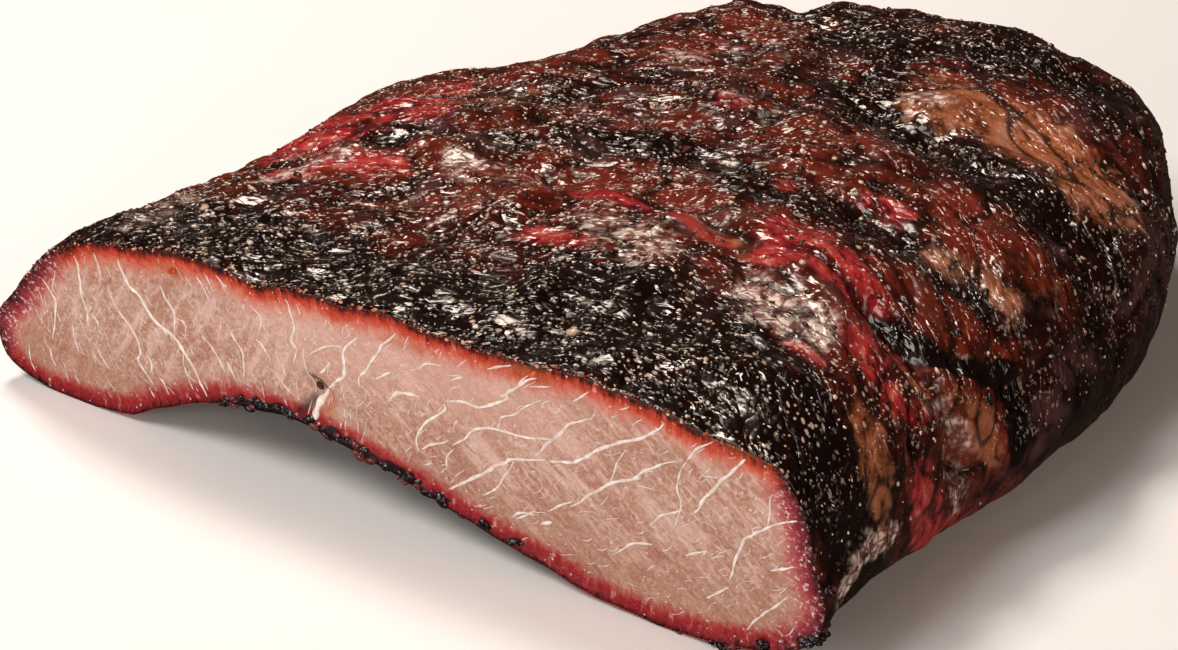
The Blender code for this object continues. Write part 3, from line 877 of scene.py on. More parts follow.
def bark_finish(colours):
    """Bark: black, maroon, mahogany and amber mottling in streaks, purple-grey skins, bare red meat, amber
    fat and pale film where they are painted, with a painted pinkish-white sheen in one place, painted shade
    in the creases and cracks and towards the back, flecks that are partly salt and partly painted glints,
    and wet, pebbled bumps."""
    f = Finish("bark")
    place = f.add("ShaderNodeSeparateXYZ", {"Vector": f.place}).outputs
    across = f.times(place["X"], 0.6)
    up = f.times(place["Z"], 0.8)
    streak = f.add("ShaderNodeCombineXYZ", {"X": across, "Y": f.painted("flow"), "Z": up}).outputs[0]
    broad, wide = f.noise(0.015, 4, 0.62, 0.6, streak), f.noise(0.024, 3, 0.6)
    middle, small = f.noise(0.0055, 4), f.noise(0.0021, 3)
    thread = f.noise(0.0034, 4, 0.6, 0.5, streak)
    ragged = f.plus(f.times(small, 0.5), f.times(middle, 1.1))
    ragged = f.maths("SUBTRACT", f.plus(ragged, f.times(thread, 0.5)), 1.05)
    char = f.spread(f.plus(f.painted("char"), ragged), 0.2, 0.75)
    tone = f.plus(f.times(broad, 0.65), f.times(thread, 0.35))
    # Warmth browns the bark behind the cut, and its loss towards the back is painted shade
    tone = f.plus(tone, f.times(f.painted("warmth_and_back_shade"), 0.12))
    tone = f.maths("SUBTRACT", tone, f.times(char, 0.2))
    brown = f.ramp(
        tone,
        (
            (0.42, colours.char), (0.5, srgb(40, 10, 6)), (0.57, colours.mahogany),
            (0.65, srgb(104, 36, 22)), (0.74, srgb(120, 42, 34)),
        ),
    )
    skin = f.spread(f.plus(wide, f.times(middle, 0.3)), 0.68, 0.82, 0, 0.5)
    brown = f.mix(f.times(skin, f.painted("warmth_and_back_shade")), brown, srgb(96, 62, 62))
    amber = f.spread(f.plus(f.painted("amber"), ragged), 0.3, 0.8)
    melt = f.plus(f.times(thread, 0.5), f.times(wide, 0.5))
    amber_tone = f.ramp(melt, ((0.38, srgb(74, 32, 18)), (0.5, colours.amber), (0.62, srgb(176, 122, 98))))
    brown = f.mix(f.times(amber, 0.92), brown, amber_tone)
    red = f.spread(f.plus(f.painted("red"), ragged), 0.2, 0.85)
    red_tone = f.ramp(
        thread,
        (
            (0.34, srgb(84, 12, 16)), (0.48, colours.red),
            (0.6, srgb(178, 60, 56)), (0.7, srgb(208, 118, 104)),
        ),
    )
    brown = f.mix(f.times(red, 0.92), brown, red_tone)
    film = f.spread(f.plus(f.painted("film"), ragged), 0.25, 0.85)
    film_tone = f.mix(f.spread(small, 0.4, 0.58), srgb(140, 92, 86), colours.film)
    crackle = f.cells(0.0032, "DISTANCE_TO_EDGE", streak)
    film_tone = f.mix(f.spread(crackle, 0.02, 0.1, 0.8, 0), film_tone, srgb(96, 48, 40))
    brown = f.mix(f.times(film, 0.94), brown, film_tone)
    # Painted shade: the bark's creases are darkened towards black
    brown = f.mix(f.spread(f.painted("crease_shade"), 0.2, 0.95, 0, 0.8), brown, srgb(8, 3, 2))
    # Pale flecks: partly salt, partly painted glints of the wet bark
    salt_and_glints = f.maths("MAXIMUM", f.dots(0.0012, 0.26, 0.4), f.dots(0.0021, 0.2, 0.6, streak))
    salt_and_glints = f.times(salt_and_glints, f.spread(broad, 0.35, 0.6, 0.1, 0.85))
    salt_and_glints = f.times(salt_and_glints, f.spread(f.painted("upward"), 0.1, 0.9, 0.1, 1))
    salt_and_glints = f.times(salt_and_glints, f.spread(f.painted("warmth_and_back_shade"), 0, 1, 1, 0.6))
    brown = f.mix(salt_and_glints, brown, srgb(206, 180, 162))
    # Painted shade: the cracks are drawn black inside
    crack_shade = f.spread(f.plus(f.painted("crack_shade"), f.times(ragged, 0.3)), 0.34, 0.54)
    brown = f.mix(f.times(crack_shade, 0.97), brown, srgb(10, 4, 4))
    wiggle = f.add("ShaderNodeTexNoise", {"Vector": streak, "Scale": 400.0, "Detail": 1.0}).outputs["Color"]
    wiggle = f.add("ShaderNodeVectorMath", {0: wiggle, 3: 1.6 * MM}, operation="SCALE").outputs[0]
    warp = f.add("ShaderNodeVectorMath", {0: streak, 1: wiggle}, operation="ADD").outputs[0]
    pebble = f.cells(0.0023, place=warp)
    knob = f.cells(0.0058, place=warp)
    wet = f.plus(f.noise(0.007, 3, 0.6, 0.4, streak), f.times(broad, 0.5))
    wet = f.spread(wet, 0.66, 0.84, 0.06, 1.0)
    level = f.spread(f.painted("upward"), 0.05, 0.65, 0.22, 1.0)
    normal = f.bump(f.times(knob, knob), -1.2 * MM, f.times(level, 0.9))
    rolling = f.times(level, f.spread(wet, 0, 1, 0.35, 1.0))
    normal = f.bump(f.noise(0.0034, 2, 0.5, 0.6, streak), 1.0 * MM, rolling, normal)
    normal = f.bump(f.times(pebble, pebble), -1.5 * MM, f.times(level, wet), normal)
    dull = f.spread(f.painted("upward"), -0.3, 0.5, 0.3, 0)
    rough = f.plus(f.spread(middle, 0.35, 0.65, 0.12, 0.26), dull)
    return f.done(
        Base_Color=brown, Roughness=rough, Normal=normal,
        Specular_IOR_Level=0.5, Specular_Tint=(1.0, 0.92, 0.87, 1.0),
    )


def meat_finish(colours):
    """Cut meat: bands by depth from the rim for the smoke ring and the crust under it, painted glints
    streaked across those bands, short fibres that lean with the grain, a fine crumbly mottling, painted
    shade in the cracks where the muscles part, and pale specks that paint moist glints."""
    f = Finish("cut_meat")
    left = f.turned((0, -28, 0), (1.0, 1.0, 0.25))
    right = f.turned((0, 48, 0), (1.0, 1.0, 0.25))
    side = f.painted("right_half")
    fibre = f.mix(side, f.noise(0.0011, 3, 0.65, 0.6, left), f.noise(0.0011, 3, 0.65, 0.6, right))
    strand = f.mix(side, f.noise(0.0038, 3, 0.55, 0.4, left), f.noise(0.0038, 3, 0.55, 0.4, right))
    broad, crumb, fine = f.noise(0.012, 3), f.noise(0.0012, 4, 0.7, 0.6), f.noise(0.0006, 2)
    inward = f.times(f.painted("depth"), 0.0025)
    comb = f.add("ShaderNodeCombineXYZ", {"X": f.painted("along"), "Y": inward}).outputs[0]
    lines = f.noise(0.0011, 3, 0.6, 0.2, comb)
    jitter = f.plus(f.times(lines, 0.5), f.times(f.noise(0.0022, 4, 0.65), 0.3))
    depth = f.plus(f.painted("depth"), f.maths("SUBTRACT", jitter, 0.42))
    core = f.mix(f.spread(broad, 0.38, 0.6), colours.meat, srgb(182, 134, 114))
    for pattern, low, high, to_low, to_high, screen in (
        (crumb, 0.46, 0.66, 0, 0.6, (228, 194, 180)),
        (crumb, 0.32, 0.46, 0.5, 0, (158, 100, 80)),
        (fibre, 0.52, 0.66, 0, 0.6, (234, 204, 192)),
        (strand, 0.52, 0.68, 0, 0.48, (166, 110, 90)),
        (strand, 0.32, 0.46, 0.55, 0, (230, 194, 182)),
    ):
        core = f.mix(f.spread(pattern, low, high, to_low, to_high), core, srgb(*screen))
    for mark, share, screen in (("rosy", 0.6, (230, 184, 172)), ("tan", 0.4, (170, 118, 92))):
        core = f.mix(f.times(f.painted(mark), share), core, srgb(*screen))
    tears = f.mix(side, f.dots(0.0052, 0.11, 0.4, left), f.dots(0.0052, 0.11, 0.4, right))
    core = f.mix(f.times(tears, 0.6), core, srgb(140, 88, 68))
    top = f.ramp(
        depth,
        (
            (0.0, srgb(44, 8, 5)), (0.07, srgb(104, 20, 8)), (0.16, srgb(180, 50, 20)),
            (0.28, srgb(204, 78, 52)), (0.5, srgb(216, 124, 104)), (0.8, srgb(210, 154, 138)),
        ),
    )
    below = f.ramp(
        depth,
        (
            (0.0, srgb(60, 6, 10)), (0.05, srgb(118, 12, 22)), (0.24, srgb(162, 26, 34)),
            (0.44, srgb(174, 50, 52)), (0.58, srgb(190, 106, 92)), (0.74, srgb(194, 144, 122)),
        ),
    )
    ends = f.ramp(
        depth,
        (
            (0.0, srgb(50, 8, 18)), (0.1, srgb(112, 24, 40)), (0.34, srgb(164, 54, 66)),
            (0.6, srgb(190, 92, 92)), (0.85, srgb(206, 148, 134)),
        ),
    )
    band = f.mix(f.painted("under"), top, below)
    band = f.mix(f.painted("end"), band, ends)
    reach = f.plus(0.85, f.times(f.painted("under"), -0.12))
    reach = f.plus(reach, f.times(f.painted("end"), 0.2))
    inner = f.spread(depth, 0.26, reach)
    glint = f.times(f.spread(lines, 0.6, 0.7, 0, 0.5), f.spread(depth, 0.1, 0.3))
    band = f.mix(glint, band, srgb(240, 196, 180))
    colour = f.mix(inner, band, core)
    colour = f.mix(f.times(f.painted("amber"), 0.75), colour, srgb(186, 92, 48))
    # Painted shade in the cracks where the two muscles part
    colour = f.mix(f.times(f.painted("pocket_shade"), 0.92), colour, srgb(44, 16, 10))
    colour = f.mix(f.times(f.spread(f.painted("burnt"), 0.35, 0.7), 0.95), colour, srgb(14, 9, 10))
    # Painted highlights: pale specks for moist glints all over the cut, and over the crust at its ends
    speck_glints = f.maths("MAXIMUM", f.dots(0.0026, 0.11, 0.5), f.dots(0.0016, 0.14, 0.3))
    crust_glints = f.times(f.spread(f.noise(0.0011, 3, 0.7), 0.55, 0.66), f.painted("end"))
    crust_glints = f.times(crust_glints, f.spread(depth, 0.5, 0.8, 1, 0))
    speck_glints = f.times(f.maths("MAXIMUM", speck_glints, crust_glints), 0.65)
    colour = f.mix(speck_glints, colour, srgb(246, 226, 220))
    height = f.plus(f.times(fibre, 0.6), f.times(crumb, 0.8))
    normal = f.bump(height, 0.7 * MM, 0.8)
    normal = f.bump(fine, 0.15 * MM, 0.8, normal)
    return f.done(
        Base_Color=colour, Roughness=f.spread(crumb, 0.35, 0.65, 0.24, 0.5), Normal=normal,
        Subsurface_Weight=0.12, Subsurface_Radius=(0.0036, 0.0014, 0.0009), Subsurface_Scale=0.6,
    )


def fat_finish(name, colour, deep):
    """Fat: milky, slightly mottled and moist."""
    f = Finish(name)
    tone = f.mix(f.spread(f.noise(0.0018, 3), 0.35, 0.65), colour, deep)
    normal = f.bump(f.noise(0.0007, 2), 0.12 * MM, 0.6)
    return f.done(
        Base_Color=tone, Roughness=0.32, Normal=normal, Subsurface_Weight=0.2,
        Subsurface_Radius=(0.002, 0.0015, 0.001), Subsurface_Scale=0.4,
    )


def grain_finish(name, stops, rough, fleck_and_glint=srgb(60, 40, 30), fleck_and_glint_range=(0.4, 0.7)):
    """Grains: each has its own tint, with flecks of another colour, which on the burnt crumbs are painted
    bluish-white glints, and a rough cracked surface.
    """
    f = Finish(name)
    tone = f.ramp(f.painted("tint"), stops)
    tone = f.mix(f.spread(f.noise(0.0005, 2), *fleck_and_glint_range, 0, 0.4), tone, fleck_and_glint)
    return f.done(Base_Color=tone, Roughness=rough, Normal=f.bump(f.noise(0.0004, 2), 0.1 * MM, 0.8))


def scatter(points, normals, chances, count, seed):
    """Seats for grains: random places on a grid surface, in proportion to area times chance."""
    rng = np.random.default_rng(seed)
    along = points[1:, 1:] - points[:-1, :-1]
    across = points[1:, :-1] - points[:-1, 1:]
    area = np.linalg.norm(np.cross(along, across), axis=-1) * chances[:-1, :-1]
    picks = rng.choice(area.size, count, p=(area / area.sum()).ravel())
    i, j = np.unravel_index(picks, area.shape)
    u, v = rng.random((2, count, 1))
    seats = (points[i, j] * (1 - u) + points[i + 1, j] * u) * (1 - v)
    seats += (points[i, j + 1] * (1 - u) + points[i + 1, j + 1] * u) * v
    return seats, normals[i, j], rng


def grain_mesh(seats, normals, radii, rng, flattening):
    """Grains: a twenty-sided ball for each seat, with its corners moved in and out at random,
    stretched along the streaks of the bark and flattened along the crust's normal."""
    ball = bmesh.new()
    bmesh.ops.create_icosphere(ball, subdivisions=1, radius=1)
    corners = np.array([v.co for v in ball.verts])
    sides = np.array([[v.index for v in face.verts] for face in ball.faces])
    ball.free()
    count = len(seats)
    lean = normals + rng.normal(scale=GRAIN_LEAN, size=(count, 3))
    up = lean / np.linalg.norm(lean, axis=1, keepdims=True)
    slope = streak_slope(seats[:, 0])
    streak = np.stack([np.ones(count), slope, GRAIN_DIP * slope.clip(max=0)], -1)
    streak = streak + rng.normal(scale=GRAIN_TURN, size=(count, 3))
    two = np.cross(up, streak)
    two /= np.linalg.norm(two, axis=1, keepdims=True)
    one = np.cross(two, up)
    shape = corners[None] * rng.uniform(*GRAIN_CORNERS, (count, len(corners), 1)) * radii[:, None, None]
    long_way = rng.uniform(*GRAIN_STRETCH, (count, 1))
    points = seats[:, None] + shape[..., :1] * one[:, None] * long_way[..., None]
    points = points + shape[..., 1:2] * two[:, None] + shape[..., 2:] * up[:, None] * flattening
    faces = sides[None] + (np.arange(count) * len(corners))[:, None, None]
    return points.reshape(-1, 3), faces.reshape(-1, 3)


def grain_radii(rng, usual, count, spread):
    """Radii of grains, varied at random about the usual one."""
    variation, least, most = spread
    return usual * rng.lognormal(0, variation, count).clip(least, most)


def tubes(routes, steps, sides, seed):
    """Veins: for each route, an oval ring carried along a smooth curve on the cut face, thick in
    the middle and closed to a point at both ends. Returns points, quads and triangles."""
    rng = np.random.default_rng(seed)
    t = np.linspace(0, 1, steps)
    angle = np.linspace(0, 2 * math.pi, sides, endpoint=False)
    all_points, all_quads, all_tips, first = [], [], [], 0
    for width, *route in routes:
        x = smooth_through([p[0] for p in route], t) * MM
        z = smooth_through([p[1] for p in route], t) * MM
        phase = rng.uniform(0, 2 * math.pi, 4)
        length = math.hypot(x[-1] - x[0], z[-1] - z[0])
        bends = VEIN_WOBBLE * min(1.0, length / VEIN_LONG)
        along_x, along_z, swell = (
            np.sin(t * length / MM * wave + start) for wave, start in zip(VEIN_WAVES, phase)
        )
        x = x + bends * along_x
        z = z + bends * along_z
        run = np.stack([np.gradient(x), np.gradient(z)], -1)
        run /= np.linalg.norm(run, axis=1, keepdims=True).clip(1e-12)
        thick = width * MM / 2 * (np.sin(math.pi * t).clip(0) ** VEIN_TAPER)
        thick = thick * (1 + VEIN_SWELL * swell) + VEIN_LEAST
        base = cut_height(x, z)
        c, s = np.cos(angle), np.sin(angle)
        ring = np.stack(
            [
                x[:, None] - run[:, 1:] * c * thick[:, None],
                base[:, None] - (s + VEIN_LIFT) * thick[:, None] * VEIN_FLATNESS,
                z[:, None] + run[:, :1] * c * thick[:, None],
            ],
            -1,
        )
        ids = first + np.arange(steps * sides).reshape(steps, sides)
        ids = np.concatenate([ids, ids[:, :1]], 1)
        ids[0] = ids[0, 0]
        ids[-1] = ids[-1, 0]
        ring[0], ring[-1] = ring[0].mean(0), ring[-1].mean(0)
        quads, tips = grid_faces(ids)
        all_points.append(ring.reshape(-1, 3))
        all_quads.append(quads)
        all_tips.append(tips)
        first += steps * sides
    return np.concatenate(all_points), [np.concatenate(all_quads), np.concatenate(all_tips)]


def drop_loose(points, face_sets):
    """Leaves out points that no face uses."""
    used = np.unique(np.concatenate([f.ravel() for f in face_sets]))
    number = np.zeros(len(points), int)
    number[used] = np.arange(len(used))
    return points[used], [number[f] for f in face_sets]


def cap(ids, over, under):
    """Triangles that close a ring: each step below fans to the steps above it."""
    step = over // under
    upper = ids[: over + 1]
    lower = np.concatenate([ids[over:], ids[:1]])[::-1]
    j, k = np.meshgrid(np.arange(under), np.arange(step), indexing="ij")
    fans = np.stack([lower[j], upper[j * step + k], upper[j * step + k + 1]], -1).reshape(-1, 3)
    ties = np.stack([lower[:-1], upper[step::step], lower[1:]], -1)
    tris = np.concatenate([fans, ties])
    distinct = (tris[:, 0] != tris[:, 1]) & (tris[:, 1] != tris[:, 2]) & (tris[:, 2] != tris[:, 0])
    return tris[distinct]


def fine_vein_routes(outline_top, outline_low):
    """Short fine veins, spread over the cut at random and laid along the grain."""
    rng = np.random.default_rng(FINE_ROUTE_SEED)
    routes = []
    while len(routes) < FINE_VEINS:
        x = rng.uniform(*FINE_SPAN)
        low = np.interp(x, *outline_low) + FINE_MARGINS[0]
        high = np.interp(x, *outline_top) - FINE_MARGINS[1]
        z = rng.uniform(low, high)
        angle = math.radians(np.interp(x, GRAIN_PLACES, GRAIN_ANGLES) + rng.normal(scale=FINE_TURN))
        length = rng.uniform(*FINE_LENGTH)
        dx, dz = length * math.cos(angle) / 2, length * math.sin(angle) / 2
        bend = rng.normal(scale=FINE_BEND)
        if low < z - abs(dz) and z + abs(dz) < high:
            route = (x - dx, z - dz), (x + bend, z - bend), (x + dx, z + dz)
            routes.append((rng.uniform(*FINE_WIDTH), *route))
    return routes


class OBJECT_OT_brisket_bark(bpy.types.Operator):
    """Builds the craggy bark that wraps the meat"""

    bl_idname = "object.brisket_bark"
    bl_label = "Bark"

    def execute(self, context):
        colours = context.scene.brisket_colours
        angles = section_angles(BARK_OVER, BARK_UNDER)
        points, normals, smooth = crust(angles, station_shares())
        back, lip = (inset_loop(points[:, 0], inset) + (0, behind, 0) for inset, behind in BARK_EDGE)
        whole = np.concatenate([back[:, None], lip[:, None], points], 1)
        ids = vertex_numbers(whole)
        quads, _ = grid_faces(np.concatenate([ids, ids[:1]]))
        front, rear = cap(ids[:, 0], BARK_OVER, BARK_UNDER), cap(ids[:, -1], BARK_OVER, BARK_UNDER)
        piece = new_piece("bark", whole.reshape(-1, 3), [quads, front, rear], bark_finish(colours), "bark")
        facing = np.concatenate([normals[:, :1], normals[:, :1], normals], 1)
        up = smooth_step(-0.4, 0.2, facing[..., 2])
        for name, strokes in BARK_STROKES.items():
            flat = [stroke for stroke in strokes if len(stroke[0][0]) == 2]
            deep = [stroke for stroke in strokes if len(stroke[0][0]) == 3]
            paint(piece, name, np.maximum(painted(whole, flat) * up, painted(whole, deep)))
        # Painted shade in the creases, where the crags fold to their lowest
        body = np.concatenate([smooth[:, :1], smooth[:, :1], smooth], 1)
        crags = np.abs(noise(straightened(body) * CRAG_STRETCH, CRAGS[0][0], CRAG_SEEDS[0]))
        paint(piece, "crease_shade", 1 - smooth_step(0.0, 0.2, crags))
        paint(piece, "flow", straightened(whole)[..., 1])
        paint(piece, "upward", facing[..., 2])
        behind = whole[..., 1]
        # Painted shade: the bark loses some warmth towards the back, where light falls off
        back_shade = blend((1.0, WARMTH_LEFT_IN_BACK_SHADE), smooth_step(*BACK_SHADE_RANGE, behind))
        paint(piece, "warmth_and_back_shade", smooth_step(*WARM_RISE, behind) * back_shade)
        return {"FINISHED"}


class OBJECT_OT_brisket_cut(bpy.types.Operator):
    """Builds the cut face of the meat with its smoke ring"""

    bl_idname = "object.brisket_cut"
    bl_label = "Cut Face"

    def execute(self, context):
        loop = inset_loop(rim_curve(), RIM_INSET)
        upper = loop[: CUT_COLUMNS + 1]
        lower = np.concatenate([loop[CUT_COLUMNS:], loop[:1]])[::-1]
        share = np.linspace(0, 1, CUT_ROWS + 1)[None, :, None]
        face = lower[:, None] * (1 - share) + upper[:, None] * share
        flat = face[..., (0, 2)].reshape(-1, 2)
        rim = loop[::2][:, (0, 2)]
        depth, nearest = np.full(len(flat), np.inf), np.zeros(len(flat), int)
        for k, place in enumerate(rim):
            gap = ((flat - place) ** 2).sum(1)
            closer = gap < depth
            depth[closer] = gap[closer]
            nearest[closer] = k
        depth = np.sqrt(depth)
        height = cut_height(flat[:, 0], flat[:, 1]) * smooth_step(0, RIM_CALM, depth)
        height += RIM_TUCK * (1 - smooth_step(0, RIM_ROUND, depth))
        face[..., 1] = height.reshape(face.shape[:2])
        scale, shift = CUT_FOLD
        back_low, back_up = (line * scale + shift for line in (lower, upper))
        whole = np.concatenate([back_low[:, None], face, back_up[:, None]], 1)
        ids = vertex_numbers(whole)
        for column in (0, -1):
            ids[column, 1:-1] = ids[column, 1]
            ids[column, -1] = ids[column, 0]
        faces = grid_faces(np.concatenate([ids, ids[:, :1]], 1))
        marks = self.marks(flat, depth, rim, nearest, face.shape[:2])
        points = whole.reshape(-1, 3)
        used = np.unique(np.concatenate([f.ravel() for f in faces]))
        points, faces = drop_loose(points, faces)
        piece = new_piece("cut_meat", points, faces, meat_finish(context.scene.brisket_colours), "cut_meat")
        for name, values in marks.items():
            wide = np.concatenate([values[:, :1], values, values[:, -1:]], 1)
            paint(piece, name, wide.ravel()[used])
        return {"FINISHED"}

    def marks(self, flat, depth, rim, nearest, shape):
        """What the material reads: depth from the rim in centimetres, and shares for each side, whose
        ranges are in millimetres."""
        x, z = flat[:, 0] / MM, flat[:, 1] / MM
        edge = rim[nearest] / MM
        waist = np.interp(edge[:, 0], (-105, 105), (20, 24))
        under = smooth_step(6, -4, edge[:, 1] - waist)
        end = np.maximum(smooth_step(-84, -94, edge[:, 0]), smooth_step(92, 99, edge[:, 0]))
        end = end * smooth_step(3, 9, edge[:, 1])
        arch = smooth_step(-44, -34, edge[:, 0]) * smooth_step(24, 8, edge[:, 0]) * under
        spread = np.stack([x, np.zeros_like(x), z], -1) * MM
        wander = noise(spread, *BURNT_WANDER)
        burnt = arch * smooth_step(3.4, 0.8, depth / MM + 1.6 * wander)
        values = {
            "depth": depth / (10 * MM),
            "under": under,
            "end": end,
            "burnt": burnt,
            "right_half": smooth_step(-24, -8, x),
            "along": nearest * np.linalg.norm(rim - np.roll(rim, 1, 0), axis=1).mean(),
            "pocket_shade": painted(spread, POCKET_SHADE_STROKES),
            "amber": painted(spread, LOBE_STROKES),
            "rosy": smooth_step(24, 44, z) * smooth_step(-60, -10, x) * smooth_step(70, 20, x),
            "tan": smooth_step(26, 8, z),
        }
        return {name: value.reshape(shape) for name, value in values.items()}


class OBJECT_OT_brisket_marbling(bpy.types.Operator):
    """Builds the veins of fat and the beads of amber fat on the cut"""

    bl_idname = "object.brisket_marbling"
    bl_label = "Marbling"

    def execute(self, context):
        colours = context.scene.brisket_colours
        loop = rim_curve()
        top, low = loop[CUT_COLUMNS:0:-1] / MM, loop[CUT_COLUMNS:] / MM
        fine = fine_vein_routes((top[:, 0], top[:, 2]), (low[:, 0], low[:, 2]))
        white = fat_finish("fat", colours.fat, srgb(230, 206, 194))
        for name, routes, steps, sides, seed in (
            ("fat_veins", VEINS, VEIN_STEPS, VEIN_SIDES, VEIN_SEED),
            ("fine_veins", fine, FINE_STEPS, FINE_SIDES, FINE_SEED),
        ):
            points, faces = tubes(routes, steps, sides, seed)
            new_piece(name, *drop_loose(points, faces), white, "cut_meat")
        rng = np.random.default_rng(BEAD_SEED)
        seats = np.array([(x * MM, -BEAD_OUT, z * MM) for (x, z), _ in FAT_BEADS])
        radii = np.array([radius for _, radius in FAT_BEADS])
        outward = np.tile((0.0, -0.8, 0.6), (len(seats), 1))
        points, faces = grain_mesh(seats, outward, radii, rng, ROUND_FLATTENING)
        amber = fat_finish("amber_fat", srgb(212, 104, 40), srgb(170, 66, 24))
        piece = new_piece("fat_beads", points, [faces], amber, "cut_meat")
        round_off(piece, 2)
        return {"FINISHED"}


class OBJECT_OT_brisket_pepper(bpy.types.Operator):
    """Scatters pale and dark grains over the bark"""

    bl_idname = "object.brisket_pepper"
    bl_label = "Pepper"

    def execute(self, context):
        sizes, colours = context.scene.brisket_sizes, context.scene.brisket_colours
        points, normals, _ = crust(section_angles(BARK_OVER, BARK_UNDER), station_shares())
        facing = smooth_step(-0.5, 0.75, normals[..., 2])
        clumps = smooth_step(-0.25, 0.35, noise(points, GRAIN_CLUMP, CLUMP_SEED))
        bare = painted(points, RED_STROKES + AMBER_STROKES)
        cracked = smooth_step(0.1, 0.5, painted(points, CRACKS))
        near_cut = smooth_step(60 * MM, 10 * MM, points[..., 1])
        sparse = blend((1.0, 0.35), smooth_step(20 * MM, 95 * MM, points[..., 0]))
        sparse = sparse * blend((1.0, 0.55), smooth_step(70 * MM, 160 * MM, points[..., 1]))
        pale = facing * (0.3 + 0.7 * clumps) * (1 - 0.45 * bare) * sparse * (1 - cracked)
        seats, up, rng = scatter(points, normals, pale, sizes.pale_count, PALE_SEED)
        radii = grain_radii(rng, sizes.pale_radius, len(seats), PALE_SPREAD)
        place, radii[0] = PALE_CHUNK
        seat = np.linalg.norm(points[..., :2] - np.array(place) * MM, axis=-1).argmin()
        seats[0], up[0] = points.reshape(-1, 3)[seat], normals.reshape(-1, 3)[seat]
        # Bright tints: salt and cracked pepper, which also paint the glints of the wet bark
        stops = (
            (0.0, colours.pale_grain_and_glint), (0.45, srgb(228, 204, 184)),
            (0.75, srgb(184, 144, 112)), (1.0, srgb(244, 230, 216)),
        )
        self.grains("pepper_pale", seats, up, radii, rng, stops, 0.22)
        charred = 0.35 + 0.65 * near_cut + 0.4 * painted(points, CHAR_AND_SHADE_STROKES)
        dark = facing * charred * (1 - 0.6 * bare) * (1 - cracked)
        seats, up, rng = scatter(points, normals, dark, sizes.dark_count, DARK_SEED)
        radii = grain_radii(rng, sizes.dark_radius, len(seats), DARK_SPREAD)
        stops = (
            (0.0, srgb(12, 8, 7)), (0.5, srgb(26, 15, 12)),
            (0.85, srgb(52, 28, 20)), (1.0, srgb(84, 46, 30)),
        )
        self.grains("pepper_dark", seats, up, radii, rng, stops, 0.3)
        return {"FINISHED"}

    def grains(self, name, seats, up, radii, rng, stops, rough):
        points, faces = grain_mesh(seats, up, radii, rng, GRAIN_FLATTENING)
        points[:, 2] = points[:, 2].clip(0)
        piece = new_piece(name, points, [faces], grain_finish(name, stops, rough), "bark")
        paint(piece, "tint", np.repeat(rng.random(len(seats)), len(points) // len(seats)))


class OBJECT_OT_brisket_char(bpy.types.Operator):
    """Builds the charred crumbs under the cut and the crumbs of bark and fat along its upper rim"""

    bl_idname = "object.brisket_char"
    bl_label = "Charred Crumbs"

    def execute(self, context):
        loop = rim_curve()
        burnt = ((0.0, srgb(12, 9, 10)), (0.7, srgb(34, 18, 16)), (1.0, srgb(110, 40, 34)))
        # Painted highlights: bluish-white flecks for glints on the burnt crumbs
        burnt = grain_finish("char_crumbs", burnt, 0.2, srgb(176, 192, 210), (0.6, 0.66))
        bright = (
            (0.0, srgb(40, 10, 6)), (0.4, srgb(124, 34, 16)),
            (0.7, srgb(186, 74, 36)), (0.92, srgb(236, 180, 150)),
        )
        bright = grain_finish("rim_crumbs", bright, 0.26)
        self.crumbs("char_crumbs", loop[CUT_COLUMNS:], CHAR_CRUMBS, CHAR_SIZES, -0.7, burnt)
        self.crumbs("rim_crumbs", loop[CUT_COLUMNS:0:-1], RIM_CRUMBS, RIM_SIZES, 0.7, bright)
        return {"FINISHED"}

    def crumbs(self, name, edge, ranges, sizes, facing, material):
        """Scatters crumbs beside an edge of the cut, which runs from left to right."""
        rng = np.random.default_rng(CRUMB_SEED)
        x = np.concatenate([rng.uniform(low * MM, high * MM, count) for low, high, count in ranges])
        radii = rng.uniform(*sizes, len(x))
        z = np.interp(x, edge[:, 0], edge[:, 2]) - facing * rng.uniform(*CRUMB_IN, len(x)) * sizes[1]
        seats = np.stack([x, rng.uniform(*CRUMB_BACK, len(x)) * sizes[1], z], -1)
        outward = np.tile((0.0, -0.7, facing), (len(x), 1))
        points, faces = grain_mesh(seats, outward, radii, rng, ROUND_FLATTENING)
        points[:, 2] = points[:, 2].clip(0)
        piece = new_piece(name, points, [faces], material, "bark")
        paint(piece, "tint", np.repeat(rng.random(len(x)), len(points) // len(x)))
        round_off(piece, 1)


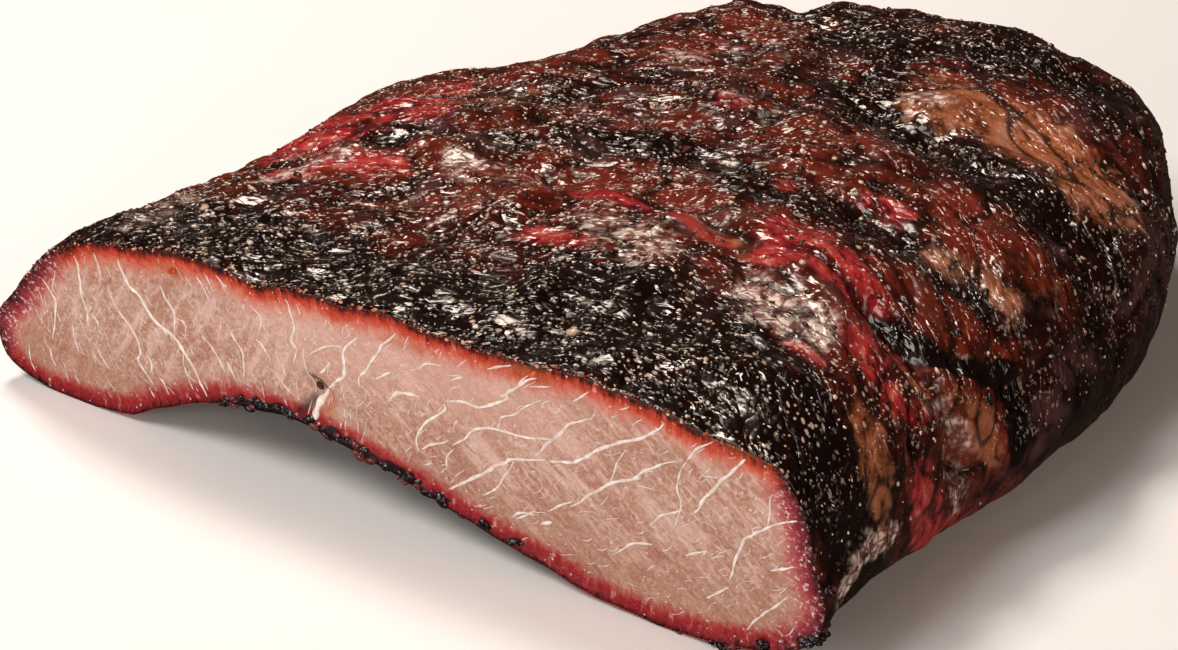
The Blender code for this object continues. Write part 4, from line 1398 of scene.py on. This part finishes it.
class SCENE_OT_brisket_stage(bpy.types.Operator):
    """Sets the pale floor, the soft studio light and the camera"""

    bl_idname = "scene.brisket_stage"
    bl_label = "Stage"

    def execute(self, context):
        scene = context.scene
        f = Finish("floor")
        cloud = f.spread(f.noise(0.3), 0.3, 0.7, 0, 0.04)
        tone = f.mix(cloud, scene.brisket_colours.floor, srgb(225, 225, 225))
        material = f.done(Base_Color=tone, Roughness=0.8)
        mesh = bpy.data.meshes.new("floor")
        r = FLOOR_RADIUS
        mesh.from_pydata([(-r, -r, 0), (r, -r, 0), (r, r, 0), (-r, r, 0)], [], [(0, 1, 2, 3)])
        mesh.materials.append(material)
        floor = bpy.data.objects.new("floor", mesh)
        scene.collection.objects.link(floor)
        floor.location.z = -FLOOR_DROP
        # The meat of the photo is cut out, so its wet bark mirrors no pale floor
        floor.visible_glossy = False
        scene.view_settings.view_transform = "Standard"
        scene.world = bpy.data.worlds.new("studio")
        scene.world.use_nodes = True
        nodes, links = scene.world.node_tree.nodes, scene.world.node_tree.links
        dim = nodes["Background"]
        dim.inputs["Color"].default_value = srgb(255, 212, 190) + (1.0,)
        dim.inputs["Strength"].default_value = WORLD_STRENGTH
        # The horizon of a low view is pale, like the floor, and gives no light of its own
        pale = nodes.new("ShaderNodeBackground")
        pale.inputs["Color"].default_value = srgb(214, 204, 196) + (1.0,)
        rays, either = nodes.new("ShaderNodeLightPath"), nodes.new("ShaderNodeMixShader")
        links.new(rays.outputs["Is Camera Ray"], either.inputs[0])
        links.new(dim.outputs[0], either.inputs[1])
        links.new(pale.outputs[0], either.inputs[2])
        links.new(either.outputs[0], nodes["World Output"].inputs["Surface"])
        for name, place, size, power, screen in LIGHTS:
            self.light(name, place, size, power, srgb(*screen))
        self.camera(scene)
        return {"FINISHED"}

    def light(self, name, place, size, power, colour):
        lamp = bpy.data.lights.new(name, "AREA")
        lamp.size = size
        lamp.energy = power
        lamp.color = colour
        made = bpy.data.objects.new(name, lamp)
        bpy.context.scene.collection.objects.link(made)
        made.location = place
        made.rotation_euler = (-made.location).to_track_quat("-Z", "Y").to_euler()

    def camera(self, scene):
        """The camera looks along a line set by its azimuth and elevation, with no roll."""
        lens = bpy.data.cameras.new("camera")
        lens.sensor_fit = "HORIZONTAL"
        lens.angle = math.radians(LENS_ANGLE)
        lens.clip_start = 0.01
        made = bpy.data.objects.new("camera", lens)
        scene.collection.objects.link(made)
        x, y, z = CAMERA_PLACE
        made.location = (x - CUT_MIDDLE, y + CAD_LOW.y, z)
        made.rotation_euler = (math.radians(90 - CAMERA_ELEVATION), 0, math.radians(CAMERA_AZIMUTH))
        scene.camera = made


class VIEW3D_PT_brisket(bpy.types.Panel):
    """Lists the brisket's operators and settings"""

    bl_label = "Smoked Brisket"
    bl_space_type = "VIEW_3D"
    bl_region_type = "UI"
    bl_category = "Brisket"

    def draw(self, context):
        for made in OPERATORS:
            self.layout.operator(made.bl_idname)
        for group in (context.scene.brisket_sizes, context.scene.brisket_colours):
            for name in type(group).__annotations__:
                self.layout.prop(group, name)


OPERATORS = (
    OBJECT_OT_brisket_bark,
    OBJECT_OT_brisket_cut,
    OBJECT_OT_brisket_marbling,
    OBJECT_OT_brisket_pepper,
    OBJECT_OT_brisket_char,
    SCENE_OT_brisket_stage,
)
CLASSES = (BrisketSizes, BrisketColours, *OPERATORS, VIEW3D_PT_brisket)


def register():
    for made in CLASSES:
        bpy.utils.register_class(made)
    bpy.types.Scene.brisket_sizes = PointerProperty(type=BrisketSizes)
    bpy.types.Scene.brisket_colours = PointerProperty(type=BrisketColours)


def unregister():
    del bpy.types.Scene.brisket_colours
    del bpy.types.Scene.brisket_sizes
    for made in reversed(CLASSES):
        bpy.utils.unregister_class(made)


def main():
    register()
    bpy.ops.object.brisket_bark()
    bpy.ops.object.brisket_cut()
    bpy.ops.object.brisket_marbling()
    bpy.ops.object.brisket_pepper()
    bpy.ops.object.brisket_char()
    bpy.ops.scene.brisket_stage()


if __name__ == "__main__":
    main()
